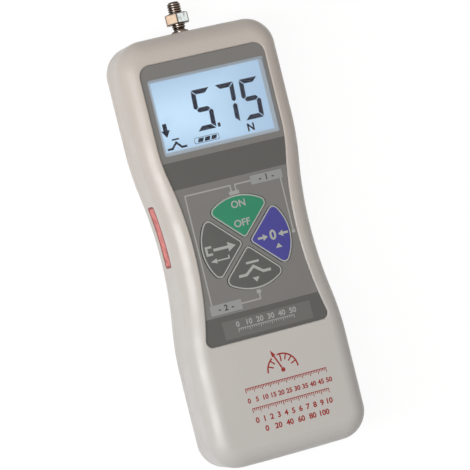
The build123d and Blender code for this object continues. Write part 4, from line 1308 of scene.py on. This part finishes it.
def nut_finish(values):
    """Bright plating, with a painted warm reflection on its left faces and painted dark
    reflections in the bevels of both ends and along its corners.
    """
    finish = Finish("nut_plating", 0.2, metallic=1.0)
    marks = finish.noise(700, detail=3, stretch=(1, 2.5, 1))
    # Painted reflection: the nut's left faces are painted in a warm tone.
    tone = finish.mix(finish.span(finish.axis("X"), -1.75 * MM, -1.25 * MM), values.nut_warm_reflection,
                      values.nut_steel)
    tone = finish.mix(finish.span(marks, 0.52, 0.68), tone, scaled(values.nut_steel, 0.45))
    end, corner = (NUT_END - NUT_START) / 2, values.nut_flats / sqrt(3)
    off_end = finish.off_middle(finish.axis("Y"), NUT_START, NUT_END)
    # Painted dark reflection: the bevels at both ends and along the corners are painted dark.
    painted_dark_edges = finish.highest(
        finish.span(off_end, end - 0.75 * MM, end - 0.2 * MM),
        finish.span(finish.off_axis(SHAFT_Z), corner - 0.3 * MM, corner - 0.05 * MM))
    finish.paint(finish.mix(painted_dark_edges, tone, values.nut_dark_reflection))
    finish.vary_roughness(marks, 0.16, 0.3)
    return finish.material


class GAUGE_OT_sensor(bpy.types.Operator):
    """Makes the threaded stud and its nut, and finishes the load cell"""

    bl_idname = "force_gauge.sensor"
    bl_label = "Sensor"

    def execute(self, context):
        values = settings(context, "sensor")
        stud = make_piece("sensor_stud", stud_mesh(values), stud_finish(values), "shaft",
                          sharp=40)
        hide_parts("sensor_shaft")
        nut = make_piece("hexagon_nut", nut_mesh(values), nut_finish(values), "nut",
                         sharp=25)
        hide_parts("lock_nut")
        dress("load_cell", machined_metal("cell_aluminium", colour(190, 192, 194), 0.34))
        dress("strain_gauges", printed_ink("gauge_foil", colour(196, 150, 84)))
        dress("sensor_frame", sheet_metal("frame_steel", colour(168, 170, 172)))
        screw = machined_metal("inner_screw_steel", colour(180, 180, 178), 0.3)
        for node in ("load_cell_screws", "frame_screws", "board_screws"):
            dress(node, screw)
        return {"FINISHED"}


# ---------------------------------------------------------------- electronics and sockets
class GAUGE_OT_electronics(bpy.types.Operator):
    """Finishes the board, the battery and the sockets"""

    bl_idname = "force_gauge.electronics"
    bl_label = "Electronics"

    def execute(self, context):
        black = moulded_plastic("socket_black", colour(30, 30, 32), 0.46)
        nickel = machined_metal("contact_nickel", colour(186, 184, 178), 0.26)
        dress("main_board", circuit_board("board_green", colour(24, 92, 58)))
        dress("tact_switches", moulded_plastic("switch_black", colour(38, 38, 40)))
        dress("board_chips", moulded_plastic("chip_black", colour(28, 28, 30), 0.55))
        dress("battery_holder", moulded_plastic("holder_black", colour(36, 36, 38), 0.55))
        dress("battery_cells", moulded_plastic("battery_sleeve", colour(52, 96, 74), 0.3))
        dress("data_pins", machined_metal("pin_gold", colour(214, 176, 92), 0.22))
        for node in ("data_socket", "dc_jack"):
            dress(node, black)
        for node in ("battery_contacts", "jack_pin"):
            dress(node, nickel)
        return {"FINISHED"}


# ---------------------------------------------------------------- panel and registration
class GAUGE_PT_panel(bpy.types.Panel):
    """Lists the steps that build the gauge's looks"""

    bl_label = "Force gauge"
    bl_idname = "GAUGE_PT_panel"
    bl_space_type = "VIEW_3D"
    bl_region_type = "UI"
    bl_category = "Force gauge"

    def draw(self, context):
        for operator in OPERATORS:
            self.layout.operator(operator.bl_idname)


SETTINGS = (GaugeStageSettings, GaugeHousingSettings, GaugeFootPrintSettings, GaugePlateSettings,
            GaugeDisplaySettings, GaugeKeySettings, GaugeSensorSettings, ForceGaugeSettings)
OPERATORS = (GAUGE_OT_stage, GAUGE_OT_housing, GAUGE_OT_foot_print, GAUGE_OT_face_plate,
             GAUGE_OT_display, GAUGE_OT_keys, GAUGE_OT_sensor, GAUGE_OT_electronics)
CLASSES = (*SETTINGS, *OPERATORS, GAUGE_PT_panel)


def register():
    for cls in CLASSES:
        bpy.utils.register_class(cls)
    bpy.types.Scene.force_gauge = bpy.props.PointerProperty(type=ForceGaugeSettings)


def unregister():
    del bpy.types.Scene.force_gauge
    for cls in reversed(CLASSES):
        bpy.utils.unregister_class(cls)


def main():
    register()
    for operator in OPERATORS:
        group, action = operator.bl_idname.split(".")
        if getattr(getattr(bpy.ops, group), action)() != {"FINISHED"}:
            raise RuntimeError(f"{operator.bl_label} did not finish")


if __name__ == "__main__":
    main()
